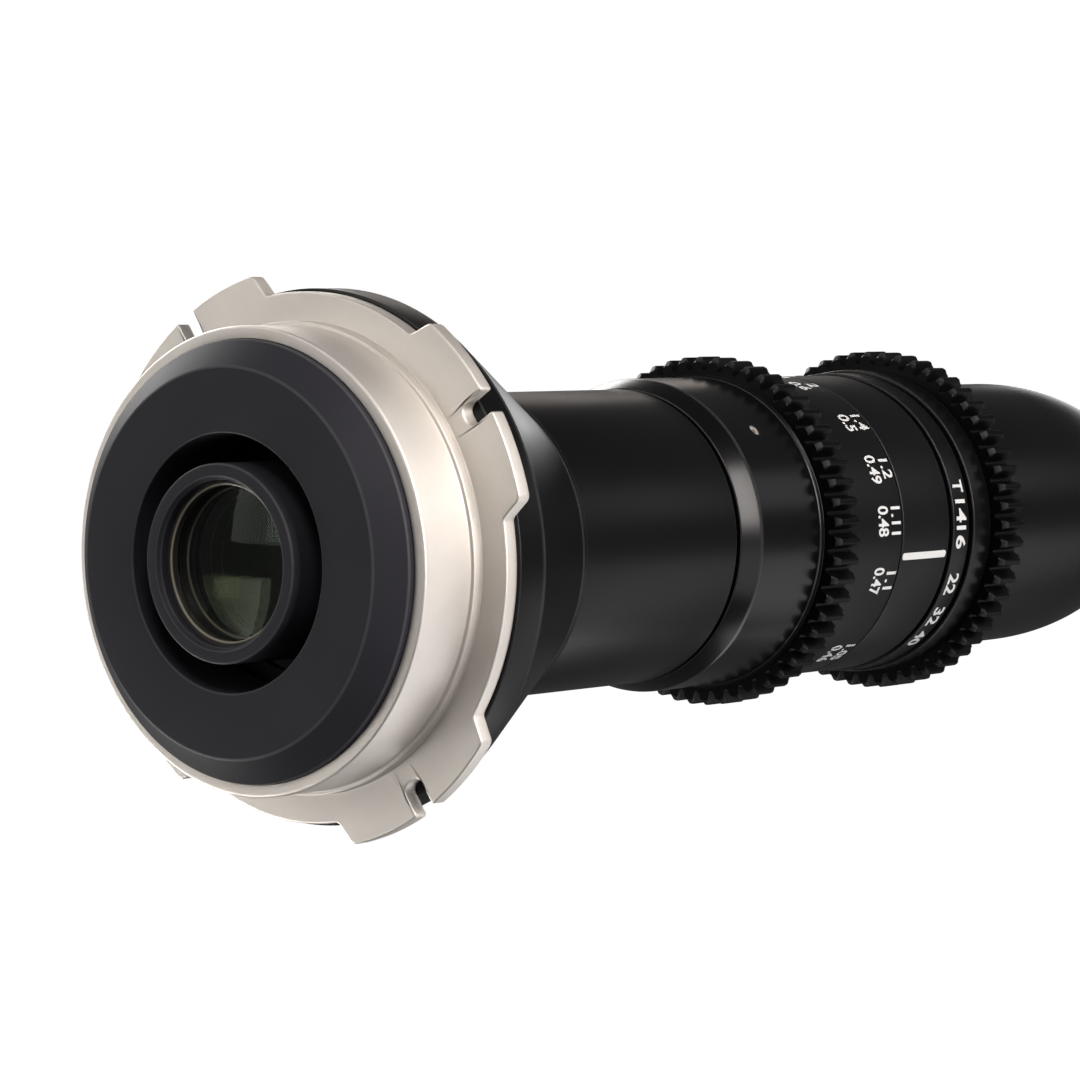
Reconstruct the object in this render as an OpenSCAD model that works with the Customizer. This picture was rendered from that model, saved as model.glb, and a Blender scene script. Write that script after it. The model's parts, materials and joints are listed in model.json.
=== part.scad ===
// Probe lens: a long macro lens with a four-eared bayonet mount, a geared focus ring, a geared iris ring
// and a thin probe with a ring of small lights round its front element.
// X runs forward along the optical axis from the mount's flange face, and Z is up.
// A clock angle is measured about +X, from +Z at 0 towards -Y at 90.

/* [Mount] */
// Radius of the register that enters the camera
register_r = 27; // [26:0.1:28]
// Depth of the register behind the flange face
register_depth = 10; // [9:0.1:12]
// Length of the raised shoulder behind the flange face
shoulder_len = 1.5; // [1:0.1:2]
// How far the shoulder stands out past the register
shoulder_step = 0.5; // [0.3:0.1:1]
// Radius of the flange between its ears
flange_r = 30.9; // [30:0.1:31.3]
// Thickness of the flange
flange_t = 2; // [1.6:0.1:3]
// Radius over the ears
ear_r = 33.7; // [32.5:0.1:35]
// Half of the angle that an ear spans at its tip
ear_tip_half = 20; // [16:1:22]
// Half of the angle that an ear spans at its root
ear_root_half = 23.5; // [23:0.5:26]
// Clock angle of the first ear
ear_clock = 56.2; // [0:0.1:89]
// Width of the notch in each ear
notch_w = 2.8; // [2:0.1:4]
// Radius of the notch's floor
notch_floor_r = 29.9; // [29:0.1:30.5]
// Wall of the register
register_wall = 1.5; // [1:0.1:2]
// Depth of the inner web behind the flange face
web_back = 2; // [1.8:0.1:3]
// Radius of the circle of mount screws
screw_circle_r = 21; // [20:0.1:22]

/* [Rear baffle and cell] */
// How far the baffle's face stands behind the register's rim
baffle_stand = 2.8; // [2:0.1:4]
// Radius of the baffle's flat face
baffle_face_r = 22.4; // [20:0.1:24]
// Radius of the well in the baffle
well_r = 14.8; // [14:0.1:15.5]
// Thickness of the baffle's face
baffle_t = 1.6; // [1:0.1:2]
// Radius of the rear cell
cell_r = 11.46; // [11.2:0.01:12]
// How far the rear cell stands behind the register's rim
cell_stand = 3.9; // [3:0.1:5]
// Radius of the rear glass
rear_glass_r = 9.5; // [8.8:0.1:10]

/* [Base and barrel] */
// Radius of the base disc
base_r = 31.3; // [31.3:0.1:32.5]
// Length of the base disc's straight side
base_len = 4.4; // [3:0.1:6]
// Length of the base's cone
cone_len = 21; // [18:0.5:24]
// Radius of the collar where the cone ends
collar_r = 19.95; // [19.6:0.05:21]
// Length of that collar
collar_len = 0.9; // [0.6:0.1:2]
// Radius of the rear barrel
barrel_r = 18.75; // [18.2:0.05:19]
// Length of the rear barrel in front of the collar
barrel_len = 31.3; // [26:0.1:36]

/* [Focus ring] */
// Radius of the focus ring
focus_r = 20.1; // [19.8:0.05:20.6]
// Length of the focus ring behind its gear
focus_len = 15.8; // [14:0.1:18]
// Length of the focus ring's rear bevel
focus_bevel = 2.8; // [2:0.1:3.5]
// Number of teeth on the focus gear
focus_teeth = 55; // [54:1:56]
// Width of each gear
gear_w = 5.2; // [4.5:0.1:6]
// Module of the gears
gear_module = 0.8; // [0.78:0.01:0.82]
// Radius of the scale ring and of the index ring
scale_r = 20; // [19.8:0.05:20.3]
// Length of the scale ring
scale_len = 13; // [12:0.1:15]
// Rise of the focusing cam for each radian of turn
cam_rise = 2.5; // [2.3:0.05:2.6]
// Turn of the focus ring towards far focus from where it is set
focus_turn_far = 95; // [90:1:96]
// Turn of the focus ring towards close focus from where it is set
focus_turn_near = 45; // [40:1:46]

/* [Index ring] */
// Length of the index ring
index_len = 10.9; // [9:0.1:12]

/* [Aperture ring] */
// Radius of the iris scale
t_band_r = 20.3; // [20.1:0.05:20.5]
// Length of the iris scale
t_band_len = 3.7; // [3.4:0.1:4.5]
// Width of the groove in front of the iris scale
t_groove_w = 0.6; // [0.4:0.1:1]
// Radius of the band that carries the iris gear
gear_band_r = 20.7; // [20.5:0.05:21]
// Length of that band
gear_band_len = 4; // [3.5:0.1:5]
// Number of teeth on the iris gear
iris_teeth = 56; // [55:1:57]
// Turn of the aperture ring to full opening from where it is set
iris_turn_open = 17; // [15:1:17]
// Turn of the aperture ring to full closing from where it is set
iris_turn_closed = 38; // [34:1:38]

/* [Front housing and probe] */
// Radius of the front housing
nose_r = 18.4; // [18.2:0.05:19]
// Length of the front housing's straight part
nose_len = 22.4; // [20:0.1:26]
// Length of the whole curve that the nose follows
nose_curve = 34.4; // [30:0.1:38]
// Radius of the nose's front lip
nose_lip_r = 11.2; // [11:0.1:12.5]
// Radius of the probe tube
probe_r = 10; // [9.8:0.1:10.2]
// Wall of the probe tube
probe_wall = 1.4; // [1.2:0.05:1.5]
// Distance from the flange face to the probe's tip
tip_x = 400; // [380:1:420]
// Number of lights round the front element
light_count = 12; // [8:1:14]

/* [Iris] */
// Number of iris blades
blade_count = 7;
// Radius of the circle of blade pivots
pivot_r = 12.8; // [12.7:0.05:12.9]
// Radius of a blade's inner edge, and of the widest opening's edge
blade_in_r = 6.6; // [6.4:0.1:7]
// Radius of a blade's outer edge
blade_out_r = 11.9; // [11.5:0.1:12]
// Swing of a blade for each degree of the aperture ring
blade_ratio = 0.35; // [0.33:0.01:0.36]

/* [Fits] */
// Radial gap of a running or sliding fit
run_gap = 0.04; // [0.02:0.01:0.05]
// Radial gap of a fixed seat
seat_gap = 0.03; // [0.01:0.01:0.05]
// Axial gap between a turning ring and its neighbour
side_gap = 0.6; // [0.3:0.1:0.8]

/* [Hidden] */
$fn = 96;

// Overrun of every cut
over = 0.5;
// Bevel of an outer edge, and the smaller one of a thin edge
edge = 0.4;
fine_edge = 0.2;
// Gap round a pin in its slot
slot_gap = 0.1;

// Colours
anodised = [0.11, 0.11, 0.12];
nickel = [0.80, 0.77, 0.73];
steel = [0.62, 0.62, 0.63];
glass = [0.72, 0.84, 0.80, 0.5];
spring_steel = [0.30, 0.30, 0.31];
resin = [0.10, 0.30, 0.16];
warm_white = [0.98, 0.93, 0.78];

// Mount
rim_x = -register_depth;
register_bore_r = register_r - register_wall;
shoulder_r = register_r + shoulder_step;
ear_count = 4;
mount_screw_count = 6;
screw_r = 1;
screw_head_r = 1.9;
screw_head_t = 1.2;
screw_thread_len = 2.6;
hex_r = 0.9;
hex_depth = 0.7;

// Places along the axis, from the flange's front face
base_x = flange_t;
cone_x = base_x + base_len;
collar_x = cone_x + cone_len;
barrel_x = collar_x + collar_len;
barrel_end_x = barrel_x + barrel_len;
ring_x = barrel_end_x + side_gap;
focus_gear_x = ring_x + focus_len;
scale_x = focus_gear_x + gear_w;
scale_end_x = scale_x + scale_len;
index_x = scale_end_x + side_gap / 2;
index_end_x = index_x + index_len;
t_band_x = index_end_x + side_gap;
t_groove_x = t_band_x + t_band_len;
gear_band_x = t_groove_x + t_groove_w;
iris_gear_x = gear_band_x + gear_band_len;
iris_ring_end_x = iris_gear_x + gear_w;
nose_x = iris_ring_end_x + side_gap;
nose_curve_x = nose_x + nose_len;

// Tubes round the axis under the focus ring, from the outside in
ring_wall = 1.3;
ring_seat_r = focus_r - ring_wall;
ring_core = 1.45;
sleeve_r = ring_seat_r - ring_core;
sleeve_wall = 2.2;
guide_r = sleeve_r - sleeve_wall - run_gap;
guide_wall = 1.5;
guide_bore_r = guide_r - guide_wall;

// Tubes under the rear barrel, from the outside in
barrel_step = 1.25;
spigot_r = barrel_r - barrel_step;
spigot_wall = 1.07;
barrel_bore_r = spigot_r - spigot_wall;
guide_rear_r = barrel_bore_r - seat_gap;
mount_bore_r = barrel_bore_r;
collar_bore_r = spigot_r + seat_gap;
spigot_len = 7;
base_web_t = 3;
base_wall = 2.4;
index_wall = 2.37;
housing_spigot_r = scale_r - index_wall - seat_gap;
housing_neck_wall = 1.4;
housing_bore_r = housing_spigot_r - housing_neck_wall;
iris_ring_wall = 1.56;
iris_seat_r = housing_spigot_r + run_gap + iris_ring_wall;
thread_len = 9.7;

// Rise of a spherical face over a radius
function rise(curve, r) = abs(curve) - sqrt(pow(curve, 2) - pow(r, 2));

// How far a ring's inner edge stands ahead of a glass's rim where it rests on a rounded face
function seat(curve, glass_r, ring_r) = curve > 0 ? rise(curve, glass_r) - rise(curve, ring_r) : 0;

// Rear cell and its glass
cell_x = rim_x - cell_stand;
cell_mouth_r = rear_glass_r + seat_gap;
cell_mouth_bevel = 0.45;
cell_thread_r = guide_bore_r - seat_gap;
cell_shoulder_x = 1;
cell_thread_len = 22;
retainer_sink = 1.5;
rear_retainer_x = cell_x + retainer_sink;
retainer_t = 1;
retainer_w = 0.6;
rear_curve_r = 34;
inner_curve_r = 30;
rear_glass_x = rear_retainer_x + retainer_t + seat(rear_curve_r, rear_glass_r, rear_glass_r - retainer_w);
rear_glass_t = 3;
rear_spacer_t = 1.2;
rear_spacer_w = 1.4;
rear_inner_x = rear_glass_x + rear_glass_t + rear_spacer_t;
rear_inner_t = 2.6;
cell_throat_r = 8.2;
cell_seat_x = rear_inner_x + rear_inner_t + seat(inner_curve_r, rear_glass_r, cell_throat_r);

// Baffle
baffle_r = register_bore_r - seat_gap;
baffle_x = rim_x - baffle_stand;
baffle_rim_x = rim_x - 0.1 * register_wall;
skirt_t = 1.1;
well_wall = 0.9;
well_wall_x = -web_back - side_gap;

// Focus group
focus_travel_far = cam_rise * focus_turn_far * PI / 180;
focus_travel_near = cam_rise * focus_turn_near * PI / 180;
pin_r = 1.5;
pin_offset = 16;
pin_x = ring_x + pin_offset;
pin_count = 3;
pin_clock = 30;
pin_tip_r = sleeve_r - 0.2 * pin_r;
slot_half = pin_r + slot_gap;
slot_margin = 2;
slot_steps = 7;
sleeve_x = ring_x + 0.7 * side_gap;
sleeve_end_x = scale_end_x - side_gap;
ring_screw_r = 0.8;
ring_screw_offset = 8.5;
ring_screw_x = ring_x + ring_screw_offset;
ring_screw_clock = 47;
ring_screw_sink = 0.25;
ring_screw_wall = 0.9;
ring_screw_seat_r = guide_r + ring_screw_wall;
cell_slide_r = guide_bore_r - run_gap;
focus_cell_len = 24;
focus_cell_x = pin_x - focus_cell_len / 2;
focus_cell_wall = 2.36;
focus_cell_bore_r = cell_slide_r - focus_cell_wall;
pin_floor = 0.7;
pin_seat_r = focus_cell_bore_r + pin_floor;
focus_shelf = 1.2;
focus_shelf_len = 5;
focus_glass_r = focus_cell_bore_r - seat_gap;
focus_curve_r = 38;
focus_ring_w = 1.5;
focus_ring_in_r = focus_glass_r - focus_ring_w;
focus_glass_1_x = focus_cell_x + focus_shelf_len;
focus_glass_1_t = 4;
focus_spacer_x = focus_glass_1_x + focus_glass_1_t + seat(focus_curve_r, focus_glass_r, focus_ring_in_r);
focus_spacer_len = 3;
focus_glass_2_x = focus_spacer_x + focus_spacer_len + seat(2 * focus_curve_r, focus_glass_r, focus_ring_in_r);
focus_glass_2_t = 4;
focus_lock_x = focus_glass_2_x + focus_glass_2_t + seat(focus_curve_r, focus_glass_r, focus_ring_in_r);
focus_lock_t = 1.6;

// Gears
tooth_addendum = gear_module;
tooth_dedendum = 1.25 * gear_module;
tooth_bevel = 0.9 * gear_module;
pressure_angle = 20;
gear_bore_r = ring_seat_r + seat_gap;
iris_gear_bore_r = iris_seat_r + seat_gap;

// Index ring
index_screw_r = 0.8;
index_screw_x = index_x + index_len / 2;
index_screw_clock = 265;
index_screw_spread = 60;

// Iris
iris_offset = 1.8;
iris_x = index_end_x + iris_offset;
plate_t = 1.2;
plate_r = housing_bore_r - seat_gap;
plate_lip = 0.2;
plate_bore_r = blade_in_r - plate_lip;
blade_t = 0.14;
blade_pitch = 0.22;
blade_x = iris_x + plate_t + blade_pitch / 2;
blade_end_x = blade_x + blade_count * blade_pitch;
actuator_x = blade_end_x + blade_pitch;
actuator_t = 1.6;
actuator_gap = 0.1;
actuator_r = housing_bore_r - actuator_gap;
actuator_bore_r = blade_in_r + 2 * plate_lip;
cover_x = actuator_x + actuator_t + actuator_gap;
cover_t = 1.2;
pivot_pin_r = 0.5;
blade_pin_r = 0.4;
pivot_gap = 0.04;
blade_slot_gap = 0.08;
iris_slot_steps = 10;
lobe_r = 1;
drive_arm = 5.6;
drive_arm_clock = -100;
blade_span = 126;
blade_clock = 12;
blade_pitch_clock = 360 / blade_count;
blade_swing_closed = blade_ratio * iris_turn_closed;
blade_swing_open = blade_ratio * iris_turn_open;
drive_pin_r = 0.5;
drive_pin_clock = 250;
drive_pin_x = actuator_x + actuator_t / 2;
drive_pin_depth = 0.8;
drive_pin_seat_r = actuator_r - drive_pin_depth;
slot_end_gap = 2;

// Front housing
housing_x = index_x + 0.1 * side_gap;
housing_wall = 2;
throat_len = 6;
housing_throat_x = nose_curve_x + throat_len;
nose_steps = 14;
nose_end_x = nose_curve_x + nose_curve * sqrt(1 - pow(nose_lip_r / nose_r, 2));
probe_inset = 1;
probe_x = housing_throat_x + probe_inset;
probe_bore_r = probe_r - probe_wall;
// The tube is turned down where it sits in the nose, and the shoulder stands just clear of the lip
probe_seat_step = 0.3;
probe_seat_r = probe_r - probe_seat_step;
probe_relief = 0.8;
probe_shoulder_x = nose_end_x + probe_relief;

// Relay optics
wire_space = 0.7;
relay_r = probe_bore_r - wire_space;
relay_wall = 0.9;
relay_bore_r = relay_r - relay_wall;
relay_inset = 2;
relay_x = probe_x + relay_inset;
objective_len = 14;
relay_end_x = tip_x - objective_len;
collar_w = 6;
collar_seat_r = probe_bore_r - seat_gap;
relay_glass_r = relay_bore_r - seat_gap;
relay_glass_t = 4;
relay_curve_r = 46;
relay_count = 5;
relay_spacer_w = 0.8;
relay_shelf = 4;
relay_shelf_w = 1;
relay_shelf_r = relay_bore_r - relay_shelf_w;
relay_lock_t = 1.5;
relay_ring_r = relay_glass_r - relay_spacer_w;
relay_ring_seat = seat(relay_curve_r, relay_glass_r, relay_ring_r);
relay_stack_x = relay_x + relay_shelf + seat(relay_curve_r, relay_glass_r, relay_shelf_r);
relay_lock_x = relay_end_x - relay_lock_t - edge;
relay_pitch = (relay_lock_x - relay_ring_seat - relay_stack_x - relay_glass_t) / (relay_count - 1);

// Tip
bezel_len = 5;
bezel_x = tip_x - bezel_len;
bezel_wall = 0.9;
bezel_bevel = 1;
objective_r = 4.4;
objective_wall = 1.1;
objective_bore_r = objective_r - objective_wall;
objective_x = relay_end_x + edge;
objective_web_t = 2.4;
front_glass_r = objective_bore_r - seat_gap;
front_glass_t = 1.6;
front_glass_sink = 0.9;
front_glass_x = tip_x - front_glass_sink - front_glass_t;
front_curve_r = 9;
doublet_t = 3;
doublet_gap = 1.5;
doublet_x = front_glass_x - doublet_t - doublet_gap;
doublet_curve_r = 12;
doublet_shelf_r = objective_bore_r - edge;
doublet_shelf_x = doublet_x - seat(doublet_curve_r, front_glass_r, doublet_shelf_r);
board_t = 0.8;
board_sink = 0.6;
board_x = bezel_x + board_sink;
chip_w = 1.5;
chip_l = 2;
chip_t = 0.6;
window_t = 0.8;
window_sink = 0.4;
window_x = tip_x - window_sink - window_t;
board_r = probe_r - bezel_wall - seat_gap;
chip_circle_r = (objective_r + board_r) / 2;
wire_r = 0.25;
wire_clock = 180;
wire_spread = 6;
wire_run_r = (relay_r + probe_bore_r) / 2;
wire_gate_w = 2.6;

// Power socket, under the front housing
socket_offset = 9;
socket_x = nose_x + socket_offset;
socket_clock = 180;
socket_w = 7.4;
socket_h = 2.6;
socket_wall = 0.4;
socket_depth = 5.2;
socket_sink = 0.5;
socket_top_r = nose_r - socket_sink;
socket_gap = 0.1;
tongue_t = 0.7;
tongue_w = 4;
board_w = 12;
board_l = 14;
power_board_t = 1;
power_board_r = socket_top_r - socket_depth;

// Turns a sketch so that its own Z runs along +X and its X axis points up
module along_x() {
    rotate([0, 90, 0]) rotate([0, 0, 180]) children();
}

// Solid turned about the axis from a list of [place along X, radius]
module turned(profile) {
    along_x() rotate_extrude() polygon([for (p = profile) [p[1], p[0]]]);
}

// Round bar or ring on the axis
module bar(x0, x1, r) {
    along_x() translate([0, 0, x0]) cylinder(r = r, h = x1 - x0);
}

module ring(x0, x1, r_out, r_in) {
    turned([[x0, r_in], [x0, r_out], [x1, r_out], [x1, r_in]]);
}

// Puts what stands along +Z at a place along X and a clock angle
module at_clock(x, clock) {
    rotate([clock, 0, 0]) translate([x, 0, 0]) children();
}

// Ring of copies about the axis
module around(count, first = 0) {
    for (i = [0 : count - 1]) rotate([first + i * 360 / count, 0, 0]) children();
}

// Lens element between two spherical faces, whose edge runs from x to x + t; a negative radius is hollow
module element(x, t, r, rear_curve, front_curve) {
    rear_rise = rise(rear_curve, r);
    front_rise = rise(front_curve, r);
    along_x() translate([0, 0, x])
    difference() {
        intersection() {
            translate([0, 0, rear_curve > 0 ? -rear_rise : 0])
            cylinder(r = r, h = t + (rear_curve > 0 ? rear_rise : 0) + (front_curve > 0 ? front_rise : 0));
            if (rear_curve > 0) translate([0, 0, rear_curve - rear_rise]) sphere(r = rear_curve);
            if (front_curve > 0) translate([0, 0, t + front_rise - front_curve]) sphere(r = front_curve);
        }
        if (rear_curve < 0) translate([0, 0, rear_curve + rear_rise]) sphere(r = -rear_curve);
        if (front_curve < 0) translate([0, 0, t - front_curve - front_rise]) sphere(r = -front_curve);
    }
}

function polar(r, a) = [r * cos(a), r * sin(a)];

// Outline of a spur gear: each tooth has a root, a flank and a tip at both sides of its middle
function gear_outline(teeth) =
    let (
        pitch_r = gear_module * teeth / 2,
        half_tooth = PI * gear_module / 4,
        tip_r = pitch_r + tooth_addendum,
        root_r = pitch_r - tooth_dedendum,
        tip_a = (half_tooth - tooth_addendum * tan(pressure_angle)) / tip_r * 180 / PI,
        pitch_a = half_tooth / pitch_r * 180 / PI,
        root_a = (half_tooth + tooth_dedendum * tan(pressure_angle) * 0.8) / root_r * 180 / PI)
    [for (i = [0 : teeth - 1])
        let (a = i * 360 / teeth)
        each [polar(root_r, a - root_a), polar(pitch_r, a - pitch_a), polar(tip_r, a - tip_a),
              polar(tip_r, a + tip_a), polar(pitch_r, a + pitch_a), polar(root_r, a + root_a)]];

// Gear ring with its teeth bevelled at both ends
module gear_ring(x, teeth, bore_r) {
    tip_r = gear_module * teeth / 2 + tooth_addendum;
    difference() {
        intersection() {
            along_x() translate([0, 0, x]) linear_extrude(gear_w) polygon(gear_outline(teeth));
            turned([[x, 0], [x, tip_r - tooth_bevel], [x + tooth_bevel, tip_r + fine_edge / 2],
                    [x + gear_w - tooth_bevel, tip_r + fine_edge / 2], [x + gear_w, tip_r - tooth_bevel],
                    [x + gear_w, 0]]);
        }
        bar(x - over, x + gear_w + over, bore_r);
    }
}

// Screw head, thread and hexagon, standing along +X from the head's seat
module mount_screw() {
    difference() {
        union() {
            along_x() translate([0, 0, -screw_head_t]) cylinder(r = screw_head_r, h = screw_head_t);
            along_x() cylinder(r = screw_r, h = flange_t + web_back - screw_head_t + screw_thread_len);
        }
        along_x() translate([0, 0, -screw_head_t - over]) cylinder(r = hex_r, h = hex_depth + over, $fn = 6);
    }
}

module ear() {
    // Point of the flank a little inside the flange's rim, on the line from the tip's corner through the root
    foot = 1.25 * polar(flange_r, ear_root_half) - 0.25 * polar(ear_r, ear_tip_half);
    linear_extrude(flange_t)
    intersection() {
        circle(r = ear_r);
        polygon([polar(shoulder_r, -ear_root_half), [foot[0], -foot[1]], polar(ear_r, -ear_tip_half),
                 polar(ear_r / cos(ear_tip_half), 0), polar(ear_r, ear_tip_half), foot,
                 polar(shoulder_r, ear_root_half)]);
    }
}

module lens_mount() {
    color(nickel)
    difference() {
        union() {
            turned([[rim_x, register_bore_r], [rim_x, register_r - fine_edge], [rim_x + fine_edge, register_r],
                    [-shoulder_len, register_r], [-shoulder_len, shoulder_r], [0, shoulder_r], [0, flange_r],
                    [flange_t, flange_r], [flange_t, mount_bore_r], [-web_back, mount_bore_r],
                    [-web_back, register_bore_r]]);
            along_x() for (i = [0 : ear_count - 1]) rotate([0, 0, ear_clock + i * 360 / ear_count]) ear();
        }
        around(ear_count, ear_clock)
            translate([-over, -notch_w / 2, notch_floor_r]) cube([flange_t + 2 * over, notch_w, ear_r]);
        around(mount_screw_count) translate([0, 0, screw_circle_r]) {
            bar(-web_back - over, -web_back + screw_head_t, screw_head_r + seat_gap);
            bar(-web_back, flange_t + over, screw_r + seat_gap);
        }
    }
}

module mount_screws() {
    color(steel)
    around(mount_screw_count) translate([-web_back + screw_head_t, 0, screw_circle_r]) mount_screw();
}

module rear_baffle() {
    color(anodised)
    turned([[baffle_x, well_r], [baffle_x, baffle_face_r], [baffle_rim_x, baffle_r], [-web_back, baffle_r],
            [-web_back, baffle_r - skirt_t], [baffle_rim_x + edge, baffle_r - skirt_t],
            [baffle_x + baffle_t, baffle_face_r - edge], [baffle_x + baffle_t, well_r + well_wall],
            [well_wall_x, well_r + well_wall], [well_wall_x, well_r]]);
}

module rear_cell() {
    color(anodised)
    turned([[cell_x, cell_mouth_r + cell_mouth_bevel], [cell_x, cell_r - fine_edge], [cell_x + fine_edge, cell_r],
            [cell_shoulder_x, cell_r], [cell_shoulder_x, cell_thread_r],
            [cell_shoulder_x + cell_thread_len, cell_thread_r],
            [cell_shoulder_x + cell_thread_len, cell_mouth_r], [cell_seat_x + 2 * retainer_t, cell_throat_r],
            [cell_seat_x, cell_throat_r], [cell_seat_x, cell_mouth_r],
            [cell_x + cell_mouth_bevel, cell_mouth_r]]);
}

module rear_retainer() {
    color(anodised)
    turned([[rear_retainer_x, rear_glass_r - retainer_w / 2], [rear_retainer_x, rear_glass_r],
            [rear_retainer_x + retainer_t, rear_glass_r],
            [rear_retainer_x + retainer_t, rear_glass_r - retainer_w]]);
}

module rear_element() {
    color(glass) element(rear_glass_x, rear_glass_t, rear_glass_r, rear_curve_r, -2 * rear_curve_r);
}

module rear_spacer() {
    color(anodised)
    ring(rear_glass_x + rear_glass_t, rear_inner_x, rear_glass_r, rear_glass_r - rear_spacer_w);
}

module rear_inner_element() {
    color(glass) element(rear_inner_x, rear_inner_t, rear_glass_r, -inner_curve_r, inner_curve_r);
}

module mount_base() {
    cavity_x = base_x + base_web_t;
    spigot_x = barrel_x - spigot_len;
    color(anodised)
    difference() {
        turned([[base_x, mount_bore_r], [base_x, base_r - fine_edge], [base_x + fine_edge, base_r],
                [cone_x - edge, base_r], [cone_x, base_r - edge], [collar_x, collar_r], [barrel_x - fine_edge, collar_r],
                [barrel_x, collar_r - fine_edge], [barrel_x, collar_bore_r], [spigot_x, collar_bore_r],
                [spigot_x, collar_bore_r + base_wall / 2], [cone_x, base_r - base_wall], [cavity_x, base_r - base_wall],
                [cavity_x, mount_bore_r]]);
        around(mount_screw_count) translate([0, 0, screw_circle_r])
            bar(base_x - over, base_x + base_web_t + over, screw_r + seat_gap);
    }
}

module rear_barrel() {
    color(anodised)
    turned([[barrel_x - spigot_len + edge, barrel_bore_r], [barrel_x - spigot_len + edge, spigot_r], [barrel_x, spigot_r],
            [barrel_x, barrel_r], [barrel_end_x - fine_edge, barrel_r], [barrel_end_x, barrel_r - fine_edge],
            [barrel_end_x, barrel_bore_r]]);
}

// Straight slots in the main tube that guide the follower pins
module guide_slots() {
    around(pin_count, pin_clock) {
        rear_x = pin_x - focus_travel_near - slot_gap;
        front_x = pin_x + focus_travel_far + slot_gap;
        translate([rear_x, -slot_half, guide_bore_r - pin_r]) cube([front_x - rear_x, 2 * slot_half, 2 * pin_r + over]);
        for (x = [rear_x, front_x])
            translate([x, 0, guide_bore_r - pin_r]) cylinder(r = slot_half, h = 2 * pin_r + over);
    }
}

module main_tube() {
    end_x = housing_x + thread_len;
    color(anodised)
    difference() {
        turned([[0, guide_bore_r], [0, guide_rear_r], [barrel_end_x, guide_rear_r], [barrel_end_x, guide_r],
                [end_x, guide_r], [end_x, guide_bore_r]]);
        guide_slots();
    }
}

module focus_ring() {
    color(anodised)
    difference() {
        turned([[ring_x, sleeve_r + seat_gap], [ring_x, barrel_r + fine_edge / 2], [ring_x + focus_bevel, focus_r],
                [focus_gear_x - edge, focus_r], [focus_gear_x, focus_r + edge], [focus_gear_x, ring_seat_r],
                [scale_end_x - fine_edge, ring_seat_r], [scale_end_x - fine_edge, sleeve_r + seat_gap]]);
        around(pin_count, ring_screw_clock)
            translate([ring_screw_x, 0, sleeve_r - over]) cylinder(r = ring_screw_r + seat_gap, h = focus_r);
    }
}

module focus_gear() {
    color(anodised) gear_ring(focus_gear_x, focus_teeth, gear_bore_r);
}

module scale_ring() {
    color(anodised)
    turned([[scale_x, gear_bore_r], [scale_x, scale_r], [scale_end_x - fine_edge, scale_r],
            [scale_end_x, scale_r - fine_edge], [scale_end_x, gear_bore_r]]);
}

// One helical slot of the focusing cam, as short straight cuts end to end
module cam_slot() {
    first = -focus_turn_far - slot_margin;
    last = focus_turn_near + slot_margin;
    step = (last - first) / slot_steps;
    middle_r = (guide_r + sleeve_r) / 2;
    slope = atan(cam_rise / middle_r);
    reach = sleeve_r * tan(step / 2) / cos(slope);
    floor_r = guide_r - pin_r;
    depth = sleeve_r - floor_r + over;
    for (i = [0 : slot_steps - 1]) {
        a = first + (i + 0.5) * step;
        at_clock(pin_x - cam_rise * a * PI / 180, a)
            translate([0, 0, floor_r]) rotate([0, 0, -slope])
            translate([-slot_half, -reach, 0]) cube([2 * slot_half, 2 * reach, depth]);
    }
    for (a = [first, last])
        at_clock(pin_x - cam_rise * a * PI / 180, a) translate([0, 0, floor_r]) cylinder(r = slot_half, h = depth);
}

module cam_sleeve() {
    color(steel)
    difference() {
        ring(sleeve_x, sleeve_end_x, sleeve_r, guide_r + run_gap);
        around(pin_count, pin_clock) cam_slot();
        around(pin_count, ring_screw_clock)
            translate([ring_screw_x, 0, ring_screw_seat_r]) cylinder(r = ring_screw_r + seat_gap, h = sleeve_r);
    }
}

module focus_screws() {
    color(steel)
    around(pin_count, ring_screw_clock)
        translate([ring_screw_x, 0, 0]) difference() {
            translate([0, 0, ring_screw_seat_r])
                cylinder(r = ring_screw_r, h = focus_r - ring_screw_sink - ring_screw_seat_r);
            translate([0, 0, focus_r - ring_screw_sink - hex_depth])
                cylinder(r = ring_screw_r / 2, h = hex_depth + over, $fn = 6);
        }
}

module focus_cell() {
    end_x = focus_cell_x + focus_cell_len;
    color(anodised)
    difference() {
        turned([[focus_cell_x, focus_cell_bore_r - focus_shelf], [focus_cell_x, cell_slide_r - fine_edge],
                [focus_cell_x + fine_edge, cell_slide_r], [end_x - fine_edge, cell_slide_r],
                [end_x, cell_slide_r - fine_edge], [end_x, focus_cell_bore_r], [focus_glass_1_x, focus_cell_bore_r],
                [focus_glass_1_x, focus_cell_bore_r - focus_shelf]]);
        around(pin_count, pin_clock) translate([pin_x, 0, pin_seat_r]) cylinder(r = pin_r + seat_gap, h = guide_r);
    }
}

module focus_lens_1() {
    color(glass) element(focus_glass_1_x, focus_glass_1_t, focus_glass_r, -focus_curve_r, focus_curve_r);
}

module focus_lens_2() {
    color(glass) element(focus_glass_2_x, focus_glass_2_t, focus_glass_r, 2 * focus_curve_r, focus_curve_r);
}

module focus_lens_spacer() {
    color(anodised)
    ring(focus_spacer_x, focus_spacer_x + focus_spacer_len, focus_glass_r, focus_ring_in_r);
}

module focus_lock_ring() {
    color(anodised) ring(focus_lock_x, focus_lock_x + focus_lock_t, focus_glass_r, focus_ring_in_r);
}

module follower_pins() {
    color(steel)
    around(pin_count, pin_clock) translate([pin_x, 0, pin_seat_r]) cylinder(r = pin_r, h = pin_tip_r - pin_seat_r);
}

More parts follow.
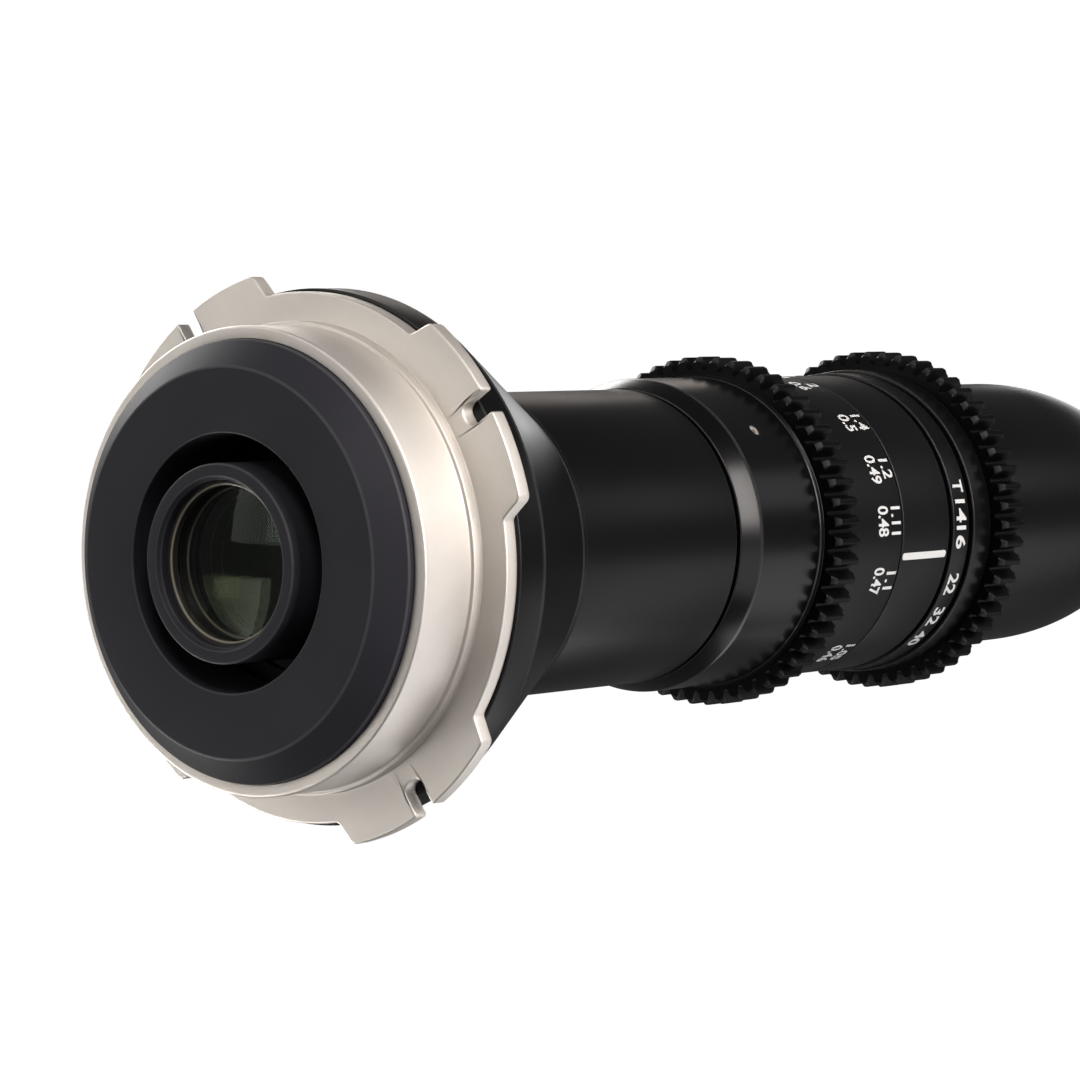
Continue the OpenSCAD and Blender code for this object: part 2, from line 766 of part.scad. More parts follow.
module index_ring() {
    color(anodised)
    difference() {
        turned([[index_x, housing_spigot_r + seat_gap], [index_x, scale_r - fine_edge], [index_x + fine_edge, scale_r],
                [index_end_x - fine_edge, scale_r], [index_end_x, scale_r - fine_edge],
                [index_end_x, housing_spigot_r + seat_gap]]);
        for (side = [-1, 1])
            at_clock(index_screw_x, index_screw_clock + side * index_screw_spread) translate([0, 0, housing_bore_r])
                cylinder(r = index_screw_r + seat_gap, h = scale_r - housing_bore_r + over);
    }
}

module index_screws() {
    color(steel)
    for (side = [-1, 1])
        at_clock(index_screw_x, index_screw_clock + side * index_screw_spread) difference() {
            translate([0, 0, housing_spigot_r])
                cylinder(r = index_screw_r, h = scale_r - ring_screw_sink - housing_spigot_r);
            translate([0, 0, scale_r - ring_screw_sink - hex_depth])
                cylinder(r = index_screw_r / 2, h = hex_depth + over, $fn = 6);
        }
}

module aperture_ring() {
    bore_r = housing_spigot_r + run_gap;
    color(anodised)
    difference() {
        turned([[t_band_x, bore_r], [t_band_x, t_band_r - fine_edge], [t_band_x + fine_edge, t_band_r],
                [t_groove_x - fine_edge, t_band_r], [t_groove_x, t_band_r - fine_edge], [t_groove_x, iris_seat_r],
                [gear_band_x, iris_seat_r], [gear_band_x, gear_band_r - fine_edge],
                [gear_band_x + fine_edge, gear_band_r], [iris_gear_x, gear_band_r], [iris_gear_x, iris_seat_r],
                [iris_ring_end_x, iris_seat_r], [iris_ring_end_x, bore_r]]);
        at_clock(drive_pin_x, drive_pin_clock) cylinder(r = drive_pin_r + seat_gap, h = iris_seat_r);
    }
}

module aperture_gear() {
    color(anodised) gear_ring(iris_gear_x, iris_teeth, iris_gear_bore_r);
}

module drive_pin() {
    color(steel)
    at_clock(drive_pin_x, drive_pin_clock)
        translate([0, 0, drive_pin_seat_r]) cylinder(r = drive_pin_r, h = iris_seat_r - seat_gap - drive_pin_seat_r);
}

module iris_base() {
    color(anodised)
    difference() {
        ring(iris_x, iris_x + plate_t, plate_r, plate_bore_r);
        around(blade_count, blade_clock)
            translate([0, 0, pivot_r]) bar(iris_x - over, iris_x + plate_t + over, pivot_pin_r + pivot_gap);
    }
}

// Place of a blade's drive pin at a turn of the aperture ring, in the plane of the blades
function drive_place(turn) =
    let (swing = blade_ratio * turn)
    [pivot_r, 0] + polar(drive_arm, drive_arm_clock - swing);

// Outline of a cam slot in the actuator, which turns with the aperture ring
function actuator_slot(half) =
    let (
        turns = [for (i = [0 : iris_slot_steps])
            -iris_turn_closed - slot_end_gap / 2
            + i * (iris_turn_closed + iris_turn_open + slot_end_gap) / iris_slot_steps],
        middle = [for (t = turns) let (p = drive_place(t)) polar(norm(p), atan2(p[1], p[0]) - t)],
        last = len(middle) - 1,
        ways = [for (i = [0 : last])
            let (d = middle[min(i + 1, last)] - middle[max(i - 1, 0)]) d / norm(d)])
    concat(
        [for (i = [0 : last]) middle[i] + half * [ways[i][1], -ways[i][0]]],
        [for (a = [-60 : 30 : 60]) middle[last] + polar(half, atan2(ways[last][1], ways[last][0]) + a)],
        [for (i = [last : -1 : 0]) middle[i] + half * [-ways[i][1], ways[i][0]]],
        [for (a = [120 : 30 : 240]) middle[0] + polar(half, atan2(ways[0][1], ways[0][0]) + a)]);

module iris_actuator() {
    color(steel)
    difference() {
        ring(actuator_x, actuator_x + actuator_t, actuator_r, actuator_bore_r);
        along_x() for (i = [0 : blade_count - 1])
            rotate([0, 0, blade_clock + i * blade_pitch_clock]) translate([0, 0, actuator_x - over])
                linear_extrude(actuator_t + 2 * over) polygon(actuator_slot(blade_pin_r + blade_slot_gap));
        at_clock(drive_pin_x, drive_pin_clock)
            translate([0, 0, drive_pin_seat_r]) cylinder(r = drive_pin_r + seat_gap, h = actuator_r);
    }
}

module iris_cover() {
    color(anodised) ring(cover_x, cover_x + cover_t, plate_r, plate_bore_r + lobe_r);
}

// One iris blade: a thin curved leaf, a lobe to its drive pin, and a pin on each side
module iris_blade(i) {
    x = blade_x + i * blade_pitch;
    arm = drive_place(0) - [pivot_r, 0];
    rest_swing = blade_swing_open;
    color(spring_steel)
    along_x() rotate([0, 0, blade_clock + i * blade_pitch_clock]) {
        translate([0, 0, x]) linear_extrude(blade_t) union() {
            translate([pivot_r, 0]) rotate([0, 0, rest_swing]) translate([-pivot_r, 0]) difference() {
                intersection() {
                    circle(r = blade_out_r);
                    polygon([[0, 0], polar(2 * blade_out_r, -2), polar(2 * blade_out_r, blade_span / 3),
                             polar(2 * blade_out_r, 2 * blade_span / 3), polar(2 * blade_out_r, blade_span)]);
                }
                circle(r = blade_in_r);
            }
            translate([pivot_r, 0]) circle(r = lobe_r);
            translate([pivot_r, 0]) rotate([0, 0, atan2(arm[1], arm[0])])
                translate([0, -lobe_r]) square([drive_arm, 2 * lobe_r]);
            translate([pivot_r, 0] + arm) circle(r = lobe_r);
            translate([pivot_r, 0]) rotate([0, 0, rest_swing + 130])
                translate([0, -lobe_r]) square([pivot_r - blade_out_r + 2 * lobe_r, 2 * lobe_r]);
        }
        translate([pivot_r, 0, iris_x + fine_edge]) cylinder(r = pivot_pin_r, h = x - iris_x - fine_edge + blade_t);
        translate([pivot_r + arm[0], arm[1], x]) cylinder(r = blade_pin_r, h = actuator_x + actuator_t - fine_edge - x);
    }
}

module front_housing() {
    nose_bore_r = probe_seat_r + seat_gap;
    inner_x = housing_x + thread_len;
    color(anodised)
    difference() {
        turned(concat(
            [[housing_x, guide_r + seat_gap], [housing_x, housing_spigot_r], [nose_x, housing_spigot_r],
             [nose_x, nose_r - fine_edge], [nose_x + fine_edge, nose_r]],
            [for (i = [0 : nose_steps])
                let (t = i / nose_steps * asin(sqrt(1 - pow(nose_lip_r / nose_r, 2))))
                [nose_curve_x + nose_curve * sin(t), nose_r * cos(t)]],
            [[nose_end_x, nose_bore_r], [housing_throat_x, nose_bore_r],
             [housing_throat_x, housing_bore_r - housing_wall], [nose_curve_x, housing_bore_r],
             [inner_x, housing_bore_r], [inner_x, guide_r + seat_gap]]));
        intersection() {
            at_clock(drive_pin_x, 0) ring(-drive_pin_r - slot_gap, drive_pin_r + slot_gap, nose_r, housing_bore_r - over);
            drive_sector();
        }
        at_clock(socket_x, socket_clock) translate([-socket_h / 2 - socket_gap, -socket_w / 2 - socket_gap, 0])
            cube([socket_h + 2 * socket_gap, socket_w + 2 * socket_gap, nose_r + over]);
    }
}

// Sector that the drive pin sweeps through the housing's wall
module drive_sector() {
    pin_half = asin(drive_pin_r / housing_bore_r);
    first = drive_pin_clock - iris_turn_closed - pin_half - slot_end_gap;
    last = drive_pin_clock + iris_turn_open + pin_half + slot_end_gap;
    reach = 2 * nose_r;
    along_x() translate([0, 0, drive_pin_x - drive_pin_r - 2 * over])
        linear_extrude(2 * drive_pin_r + 4 * over)
        polygon([[0, 0], polar(reach, first), polar(reach, (first + last) / 2), polar(reach, last)]);
}

module probe_tube() {
    color(anodised)
    turned([[probe_x, probe_bore_r], [probe_x, probe_seat_r], [probe_shoulder_x, probe_seat_r],
            [probe_shoulder_x, probe_r], [bezel_x, probe_r], [bezel_x, probe_bore_r]]);
}

// Gate at the underside of each collar of the relay tube, for the wires
module wire_gate(x0, x1) {
    at_clock(x0, wire_clock) translate([-over, -wire_gate_w / 2, relay_r])
        cube([x1 - x0 + 2 * over, wire_gate_w, probe_r]);
}

module relay_tube() {
    rear_collar_end = relay_x + collar_w;
    front_collar_x = relay_end_x - collar_w;
    color(anodised)
    difference() {
        turned([[relay_x, relay_shelf_r], [relay_x, collar_seat_r], [rear_collar_end, collar_seat_r],
                [rear_collar_end, relay_r], [front_collar_x, relay_r], [front_collar_x, collar_seat_r],
                [relay_end_x, collar_seat_r], [relay_end_x, relay_bore_r], [relay_x + relay_shelf, relay_bore_r],
                [relay_x + relay_shelf, relay_shelf_r]]);
        wire_gate(relay_x, rear_collar_end);
        wire_gate(front_collar_x, relay_end_x);
    }
}

module relay_lens(i) {
    color(glass) element(relay_stack_x + i * relay_pitch, relay_glass_t, relay_glass_r, relay_curve_r, relay_curve_r);
}

module relay_spacer(i) {
    color(anodised)
    ring(relay_stack_x + i * relay_pitch + relay_glass_t + relay_ring_seat,
         relay_stack_x + (i + 1) * relay_pitch - relay_ring_seat, relay_glass_r, relay_ring_r);
}

module relay_lock_ring() {
    color(anodised)
    ring(relay_lock_x, relay_lock_x + relay_lock_t, relay_glass_r, relay_ring_r);
}

module objective_cell() {
    color(anodised)
    difference() {
        turned([[objective_x, doublet_shelf_r], [objective_x, collar_seat_r],
                [objective_x + objective_web_t, collar_seat_r], [objective_x + objective_web_t, objective_r],
                [tip_x - edge, objective_r], [tip_x, objective_r - edge],
                [tip_x, objective_bore_r + edge / 2], [tip_x - edge, objective_bore_r],
                [doublet_shelf_x, objective_bore_r], [doublet_shelf_x, doublet_shelf_r]]);
        wire_gate(objective_x, objective_x + objective_web_t);
    }
}

module front_element() {
    color(glass) element(front_glass_x, front_glass_t, front_glass_r, -2 * front_curve_r, front_curve_r);
}

module objective_doublet() {
    color(glass) element(doublet_x, doublet_t, front_glass_r, doublet_curve_r, doublet_curve_r);
}

module tip_bezel() {
    bore_r = probe_r - bezel_wall;
    color(anodised)
    turned([[bezel_x, bore_r], [bezel_x, probe_r], [tip_x - bezel_bevel, probe_r], [tip_x, probe_r - bezel_bevel / 2],
            [tip_x, bore_r]]);
}

module light_board() {
    color(resin)
    difference() {
        ring(board_x, board_x + board_t, board_r, objective_r + seat_gap);
        for (side = [-1, 1]) at_clock(board_x, wire_clock + side * wire_spread)
            translate([-over, 0, wire_run_r]) rotate([0, 90, 0]) cylinder(r = wire_r + seat_gap, h = board_t + 2 * over);
    }
}

module light_chips() {
    color(warm_white)
    around(light_count) translate([board_x + board_t, -chip_l / 2, chip_circle_r - chip_w / 2])
        cube([chip_t, chip_l, chip_w]);
}

module light_window() {
    color(glass) ring(window_x, window_x + window_t, board_r, objective_r + seat_gap);
}

// Tube swept along a route in the plane of a clock angle, each point [place along X, radius]
module wire(route) {
    sides = 8;
    last = len(route) - 1;
    function way(i) = let (d = route[min(i + 1, last)] - route[max(i - 1, 0)]) d / norm(d);
    points = [for (i = [0 : last]) for (k = [0 : sides - 1])
        let (n = [-way(i)[1], way(i)[0]], a = k * 360 / sides)
        [route[i][0] + n[0] * wire_r * cos(a), wire_r * sin(a), route[i][1] + n[1] * wire_r * cos(a)]];
    walls = [for (i = [0 : last - 1]) for (k = [0 : sides - 1])
        let (m = (k + 1) % sides)
        [i * sides + k, (i + 1) * sides + k, (i + 1) * sides + m, i * sides + m]];
    polyhedron(points, concat([[for (k = [0 : sides - 1]) k]], walls,
                              [[for (k = [sides - 1 : -1 : 0]) last * sides + k]]));
}

// The two wires from the power board to the light board
module light_wires() {
    board_edge_x = socket_x + board_l / 2 - 2 * wire_r;
    bend = 8 * wire_r;
    board_side_r = power_board_r - power_board_t - wire_r;
    route = [[board_edge_x, board_side_r], [board_edge_x + bend, board_side_r], [housing_throat_x - bend, wire_run_r],
             [housing_throat_x, wire_run_r], [board_x + board_t / 2, wire_run_r]];
    color("firebrick")
    for (side = [-1, 1]) rotate([wire_clock + side * wire_spread, 0, 0]) wire(route);
}

module power_socket() {
    color(steel)
    at_clock(socket_x, socket_clock) {
        difference() {
            translate([-socket_h / 2, -socket_w / 2, power_board_r]) cube([socket_h, socket_w, socket_depth]);
            translate([-socket_h / 2 + socket_wall, -socket_w / 2 + socket_wall, power_board_r + socket_wall])
                cube([socket_h - 2 * socket_wall, socket_w - 2 * socket_wall, socket_depth]);
        }
        translate([-tongue_t / 2, -tongue_w / 2, power_board_r]) cube([tongue_t, tongue_w, socket_depth - socket_wall]);
    }
}

module power_board() {
    color(resin)
    at_clock(socket_x, socket_clock) translate([-board_l / 2, -board_w / 2, power_board_r - power_board_t])
        cube([board_l, board_w, power_board_t]);
}

lens_mount();
mount_screws();
rear_baffle();
rear_cell();
rear_retainer();
rear_element();
rear_spacer();
rear_inner_element();
mount_base();
rear_barrel();
main_tube();
focus_ring();
focus_gear();
scale_ring();
cam_sleeve();
focus_screws();
focus_cell();
focus_lens_1();
focus_lens_2();
focus_lens_spacer();
focus_lock_ring();
follower_pins();
index_ring();
index_screws();
aperture_ring();
aperture_gear();
drive_pin();
iris_base();
iris_actuator();
iris_cover();
iris_blade(0);  // iris_blade_1
iris_blade(1);  // iris_blade_2
iris_blade(2);  // iris_blade_3
iris_blade(3);  // iris_blade_4
iris_blade(4);  // iris_blade_5
iris_blade(5);  // iris_blade_6
iris_blade(6);  // iris_blade_7
front_housing();
probe_tube();
relay_tube();
relay_lens(0);  // relay_lens_1
relay_lens(1);  // relay_lens_2
relay_lens(2);  // relay_lens_3
relay_lens(3);  // relay_lens_4
relay_lens(4);  // relay_lens_5
relay_spacer(0);  // relay_spacer_1
relay_spacer(1);  // relay_spacer_2
relay_spacer(2);  // relay_spacer_3
relay_spacer(3);  // relay_spacer_4
relay_lock_ring();
objective_cell();
front_element();
objective_doublet();
tip_bezel();
light_board();
light_chips();
light_window();
light_wires();
power_socket();
power_board();
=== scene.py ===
"""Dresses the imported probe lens: turned rings, the four-eared mount, gears, scales, glass, finishes and the studio.

X runs forward along the optical axis from the mount's flange face and Z is up. Sizes in the classes are in
millimetres and become metres when a mesh is made. A clock angle is measured about +X, from +Z at 0 towards -Y at 90.
"""

import json
import logging
import math
from dataclasses import dataclass, field
from enum import Enum
from typing import Any, ClassVar, Mapping, Sequence, Union

import bmesh
import bpy
import numpy as np
from mathutils import Euler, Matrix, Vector

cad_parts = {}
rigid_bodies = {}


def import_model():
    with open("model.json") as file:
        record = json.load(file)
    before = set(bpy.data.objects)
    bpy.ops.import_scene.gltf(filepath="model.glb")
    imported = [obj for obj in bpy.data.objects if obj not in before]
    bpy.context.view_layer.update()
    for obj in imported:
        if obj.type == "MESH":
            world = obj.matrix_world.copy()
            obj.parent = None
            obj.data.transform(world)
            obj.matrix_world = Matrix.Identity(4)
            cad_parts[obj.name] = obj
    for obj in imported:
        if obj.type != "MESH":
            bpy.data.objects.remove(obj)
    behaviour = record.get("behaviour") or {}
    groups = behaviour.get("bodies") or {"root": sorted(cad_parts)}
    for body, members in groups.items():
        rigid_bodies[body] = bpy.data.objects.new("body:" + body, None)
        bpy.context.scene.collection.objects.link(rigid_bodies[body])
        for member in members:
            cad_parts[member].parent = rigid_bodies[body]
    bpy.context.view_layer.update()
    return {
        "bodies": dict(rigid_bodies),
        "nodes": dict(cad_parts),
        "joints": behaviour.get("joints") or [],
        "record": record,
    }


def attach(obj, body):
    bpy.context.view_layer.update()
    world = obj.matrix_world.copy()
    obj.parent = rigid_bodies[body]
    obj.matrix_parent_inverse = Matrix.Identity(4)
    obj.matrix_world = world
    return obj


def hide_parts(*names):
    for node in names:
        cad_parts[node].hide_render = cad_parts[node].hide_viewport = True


log = logging.getLogger("probe_lens")

MM = 0.001
# Steps round a turned ring, and the bend past which an edge is shaded sharp
SEGMENTS = 256
SHARP_DEGREES = 34.0
# Pieces of each curve in the built-in type, and how much heavier than drawn it is set
TYPE_STEPS = 5
TYPE_WEIGHT = 0.022

Array = np.ndarray
Number = Union[float, "Wire"]
Corner = tuple[float, float, float]
Profile = tuple[Corner, ...]
Mark = tuple[str, float, float, float, float]
Colour = tuple[float, float, float]
Values = Mapping[Union[str, int], Any]


class Body(Enum):
    """The moving bodies of the lens that new pieces ride on."""

    HOUSING = "housing"
    FOCUS = "focus"
    APERTURE = "aperture"


class Slot(Enum):
    """The record's material slots."""

    MOUNT_STEEL = "mount_steel"
    BLACK_ANODISED = "black_anodised"
    BRIGHT_STEEL = "bright_steel"
    SLEEVE_BRASS = "sleeve_brass"
    BLADE_STEEL = "blade_steel"
    COATED_GLASS = "coated_glass"
    WINDOW_RESIN = "window_resin"
    CIRCUIT_BOARD = "circuit_board"
    LIGHT_CHIP = "light_chip"
    WIRE_INSULATION = "wire_insulation"


# Shader nodes


class Wire:
    """A number that leaves a shader node; arithmetic on it adds Math nodes."""

    def __init__(self, board: "Board", socket: bpy.types.NodeSocket) -> None:
        """Keeps the socket and the board that it is on.

        Args:
            board: the node board that new Math nodes go to.
            socket: the output socket.
        """
        self.board = board
        self.socket = socket

    def _math(self, operation: str, other: Number, swapped: bool = False) -> "Wire":
        """Adds one Math node.

        Args:
            operation: Blender's name of the operation.
            other: the second operand.
            swapped: True where the other operand comes first.

        Returns:
            The result as a wire.
        """
        pair = (other, self) if swapped else (self, other)
        return self.board.out("ShaderNodeMath", {"operation": operation}, {0: pair[0], 1: pair[1]})

    def __add__(self, other: Number) -> "Wire":
        """self + other."""
        return self._math("ADD", other)

    __radd__ = __add__

    def __sub__(self, other: Number) -> "Wire":
        """self - other."""
        return self._math("SUBTRACT", other)

    def __rsub__(self, other: Number) -> "Wire":
        """other - self."""
        return self._math("SUBTRACT", other, swapped=True)

    def __mul__(self, other: Number) -> "Wire":
        """self * other."""
        return self._math("MULTIPLY", other)

    __rmul__ = __mul__

    def __pow__(self, other: Number) -> "Wire":
        """self to the power of other."""
        return self._math("POWER", other)

    def clipped(self) -> "Wire":
        """The same number held between 0 and 1."""
        return self.board.out("ShaderNodeClamp", {}, {"Value": self})


class Board:
    """The node board of one material."""

    def __init__(self, name: str) -> None:
        """Makes an empty material.

        Args:
            name: the material's name.
        """
        self.material = bpy.data.materials.new(name)
        self.material.use_nodes = True
        self.tree = self.material.node_tree
        self.tree.nodes.clear()
        self.end = self.tree.nodes.new("ShaderNodeOutputMaterial")

    def node(self, kind: str, settings: Mapping[str, Any], values: Values) -> bpy.types.Node:
        """Adds a node.

        Args:
            kind: the node's type.
            settings: its properties, set first.
            values: a number, colour, wire or socket for each named or numbered input.

        Returns:
            The new node.
        """
        made = self.tree.nodes.new(kind)
        for key, value in settings.items():
            setattr(made, key, value)
        for key, value in values.items():
            socket = value.socket if isinstance(value, Wire) else value
            if isinstance(socket, bpy.types.NodeSocket):
                self.tree.links.new(socket, made.inputs[key])
            elif made.inputs[key].type == "RGBA" and len(socket) == 3:
                made.inputs[key].default_value = (*socket, 1.0)
            else:
                made.inputs[key].default_value = socket
        return made

    def out(self, kind: str, settings: Mapping[str, Any], values: Values, output: Union[str, int] = 0) -> Wire:
        """Adds a node and gives one of its outputs.

        Args:
            kind: the node's type.
            settings: its properties.
            values: its inputs.
            output: the output's name or number.

        Returns:
            That output as a wire.
        """
        return Wire(self, self.node(kind, settings, values).outputs[output])

    def place(self) -> bpy.types.NodeSocket:
        """The point on the piece in its own coordinates, in metres."""
        return self.tree.nodes.new("ShaderNodeTexCoord").outputs["Object"]

    def noise(self, scale: float, detail: float = 2.0, roughness: float = 0.5) -> Wire:
        """A noise pattern between 0 and 1.

        Args:
            scale: features per metre.
            detail: octaves.
            roughness: weight of the finer octaves.

        Returns:
            The noise.
        """
        return self.out("ShaderNodeTexNoise", {}, {
            "Vector": self.place(), "Scale": scale, "Detail": detail, "Roughness": roughness})

    def lathe_marks(self, pitch: float) -> Wire:
        """Fine rings that a lathe leaves: noise along x plus the distance from the axis.

        Args:
            pitch: rings per metre.

        Returns:
            The rings as a number between 0 and 1.
        """
        parts = self.node("ShaderNodeSeparateXYZ", {}, {0: self.place()})
        x, y, z = (Wire(self, parts.outputs[i]) for i in range(3))
        reach = x + (y * y + z * z) ** 0.5
        return self.out("ShaderNodeTexNoise", {"noise_dimensions": "1D"}, {"W": reach, "Scale": pitch, "Detail": 3.0})

    def edge(self) -> Wire:
        """How near a point is to a rounded edge, from 0 to 1, as the mesh's own attribute says."""
        return self.out("ShaderNodeAttribute", {"attribute_name": "edge"}, {}, "Fac")

    def bump(self, height: Wire, distance: float, strength: float, under: Any = None) -> bpy.types.NodeSocket:
        """Turns a height into a normal.

        Args:
            height: the height between 0 and 1.
            distance: the height of 1, in metres.
            strength: the share of it that shows.
            under: a normal that it lies on, or None.

        Returns:
            The normal.
        """
        values: dict[Union[str, int], Any] = {"Height": height, "Distance": distance, "Strength": strength}
        if under is not None:
            values["Normal"] = under
        return self.node("ShaderNodeBump", {}, values).outputs["Normal"]

    def mix(self, share: Number, low: Any, high: Any) -> bpy.types.NodeSocket:
        """Mixes two colours.

        Args:
            share: the weight of the second.
            low: the first colour.
            high: the second colour.

        Returns:
            The mixed colour.
        """
        made = self.node("ShaderNodeMix", {"data_type": "RGBA"}, {"Factor": share})
        for key, value in ((6, low), (7, high)):
            if isinstance(value, bpy.types.NodeSocket):
                self.tree.links.new(value, made.inputs[key])
            else:
                made.inputs[key].default_value = (*value, 1.0)
        return made.outputs[2]

    def surface(self, values: Values) -> bpy.types.Material:
        """Ends the board in a Principled surface.

        Args:
            values: its inputs.

        Returns:
            The finished material.
        """
        skin = self.node("ShaderNodeBsdfPrincipled", {}, values)
        self.tree.links.new(skin.outputs[0], self.end.inputs["Surface"])
        return self.material


# Finishes


def toned(tint: Colour, share: float) -> Colour:
    """A colour with each of its parts times a share."""
    return tint[0] * share, tint[1] * share, tint[2] * share


@dataclass(frozen=True)
class Anodised:
    """Black anodised aluminium over a fine blast, paler where an edge is rounded, partly as wear and partly as a
    painted highlight.
    """

    name: str
    tint: Colour = (0.0024, 0.0022, 0.0024)
    # Colour of rounded edges: partly wear, partly a painted highlight
    pale: Colour = (0.045, 0.045, 0.047)
    roughness: float = 0.32
    blast: float = 0.35
    rings: float = 0.10
    gloss: float = 0.20

    def material(self) -> bpy.types.Material:
        """Fine grain and faint lathe rings in the normal, slow drift in the roughness, and rounded edges painted
        paler, partly as wear and partly as a painted highlight.

        Returns:
            The material.
        """
        board = Board(self.name)
        grain = board.noise(7000, 3.0, 0.6)
        drift = board.noise(90, 3.0)
        marks = board.lathe_marks(2600)
        # Rounded edges painted paler under noise: partly wear, partly a painted highlight along the edges
        edge_wear_and_highlight = (board.edge() * (board.noise(500, 4.0) * 0.5 + 0.55)).clipped()
        black = board.mix(drift, self.tint, toned(self.tint, 1.35))
        under = board.bump(marks, 0.000004, self.rings)
        return board.surface({
            "Base Color": board.mix(edge_wear_and_highlight * 0.8, black, self.pale), "Specular IOR Level": self.gloss,
            "Roughness": (drift * 0.10 + grain * 0.06 + (self.roughness - 0.08) - edge_wear_and_highlight * 0.08).clipped(),
            "Normal": board.bump(grain, 0.000012, self.blast, under)})


@dataclass(frozen=True)
class BlastedNickel:
    """Warm grey plated steel with a fine blast, brighter on its edges."""

    name: str = "blasted nickel"
    tint: Colour = (0.815, 0.77, 0.72)
    polished: Colour = (0.86, 0.82, 0.77)
    roughness: float = 0.60

    def material(self) -> bpy.types.Material:
        """Coarse grain and lathe rings in the normal, cloudy colour and roughness, and polished edges.

        Returns:
            The material.
        """
        board = Board(self.name)
        grain = board.noise(3800, 4.0, 0.7)
        cloud = board.noise(140, 5.0, 0.6)
        marks = board.lathe_marks(3200)
        bright = board.edge()
        clouded = board.mix(cloud, toned(self.tint, 0.84), self.tint)
        under = board.bump(marks, 0.000005, 0.22)
        return board.surface({
            "Base Color": board.mix(bright * 0.6, clouded, self.polished), "Metallic": 1.0,
            "Roughness": (cloud * 0.10 + grain * 0.10 + (self.roughness - 0.10) - bright * 0.08).clipped(),
            "Normal": board.bump(grain, 0.00003, 0.7, under)})


@dataclass(frozen=True)
class Metal:
    """Bare turned metal of an inner piece."""

    name: str
    tint: Colour = (0.56, 0.56, 0.57)
    roughness: float = 0.28

    def material(self) -> bpy.types.Material:
        """Lathe rings in the normal and a slow drift in the roughness.

        Returns:
            The material.
        """
        board = Board(self.name)
        drift = board.noise(300, 3.0)
        return board.surface({
            "Base Color": board.mix(drift, self.tint, toned(self.tint, 0.85)), "Metallic": 1.0,
            "Roughness": drift * 0.12 + (self.roughness - 0.05),
            "Normal": board.bump(board.lathe_marks(4000), 0.000004, 0.3)})


@dataclass(frozen=True)
class CoatedGlass:
    """Optical glass whose coating tints what it reflects."""

    name: str
    reflected: Colour = (0.088, 0.108, 0.094)
    ior: float = 1.6

    def material(self) -> bpy.types.Material:
        """Clear glass with a faint film of dust and a tinted reflection.

        Returns:
            The material.
        """
        board = Board(self.name)
        film = board.noise(60, 4.0)
        return board.surface({
            "Base Color": board.mix(film, (0.93, 0.97, 0.94), (0.97, 0.99, 0.97)),
            "Roughness": (film * 0.02 + 0.02).clipped(),
            "Transmission Weight": 1.0, "IOR": self.ior, "Specular Tint": self.reflected})


@dataclass(frozen=True)
class Paint:
    """A flat coloured finish with a fine tooth: paint in the numbers, resin, wire cover or phosphor."""

    name: str
    tint: Colour
    roughness: float = 0.45
    drift: float = 0.12
    tooth: float = 0.2
    coat: float = 0.0

    def material(self) -> bpy.types.Material:
        """Slightly uneven colour, roughness and normal.

        Returns:
            The material.
        """
        board = Board(self.name)
        cloud = board.noise(1800, 3.0)
        return board.surface({
            "Base Color": board.mix(cloud, toned(self.tint, 1 - self.drift), self.tint),
            "Roughness": (cloud * 0.1 + (self.roughness - 0.05)).clipped(), "Coat Weight": self.coat,
            "Normal": board.bump(board.noise(6000, 3.0), 0.000006, self.tooth)})


class Finish(Enum):
    """Every finish of the lens."""

    SHELL = Anodised("anodised shell")
    COLLAR = Anodised("anodised collar", roughness=0.25, blast=0.2, rings=0.05, gloss=0.26)
    SATIN = Anodised("anodised satin", (0.0028, 0.0027, 0.0032), roughness=0.40, blast=0.5, rings=0.05)
    BAFFLE = Anodised(
        "matt black baffle", (0.0235, 0.0228, 0.028), (0.085, 0.085, 0.09), 0.5, blast=0.6, rings=0.03, gloss=0.12)
    # The teeth's pale edge colour paints highlights on the bevelled tooth ends
    TOOTH = Anodised("anodised teeth", (0.002, 0.002, 0.002), (0.085, 0.082, 0.08), 0.34, blast=0.25, gloss=0.10)
    LIPPED = Anodised("black with bright lips", (0.03, 0.029, 0.027), (0.46, 0.41, 0.31), 0.34)
    INNER = Anodised("inner black", (0.003, 0.003, 0.0033), (0.02, 0.02, 0.021), 0.5)
    NICKEL = BlastedNickel()
    STEEL = Metal("ground steel")
    BRASS = Metal("turned brass", (0.74, 0.56, 0.28), 0.3)
    BLADE = Metal("blued blade steel", (0.06, 0.06, 0.07), 0.4)
    GREEN_GLASS = CoatedGlass("green coated glass")
    OLIVE_GLASS = CoatedGlass("olive coated glass", (0.075, 0.09, 0.03), 1.62)
    PLAIN_GLASS = CoatedGlass("front glass", (0.6, 0.55, 1.0), 1.5)
    PAINT = Paint("white paint", (0.70, 0.70, 0.69), 0.5)
    BOARD = Paint("solder mask", (0.02, 0.12, 0.05), 0.3, coat=0.3)
    PHOSPHOR = Paint("phosphor", (0.85, 0.68, 0.22), 0.6)
    COVER = Paint("wire cover", (0.45, 0.03, 0.02), 0.4)


@dataclass
class Rack:
    """The finishes' materials, each made the first time that it is asked for."""

    made: dict[Finish, bpy.types.Material] = field(default_factory=dict)

    def of(self, finish: Finish) -> bpy.types.Material:
        """The material of a finish.

        Args:
            finish: the finish.

        Returns:
            The material.
        """
        if finish not in self.made:
            self.made[finish] = finish.value.material()
        return self.made[finish]


# Surfaces


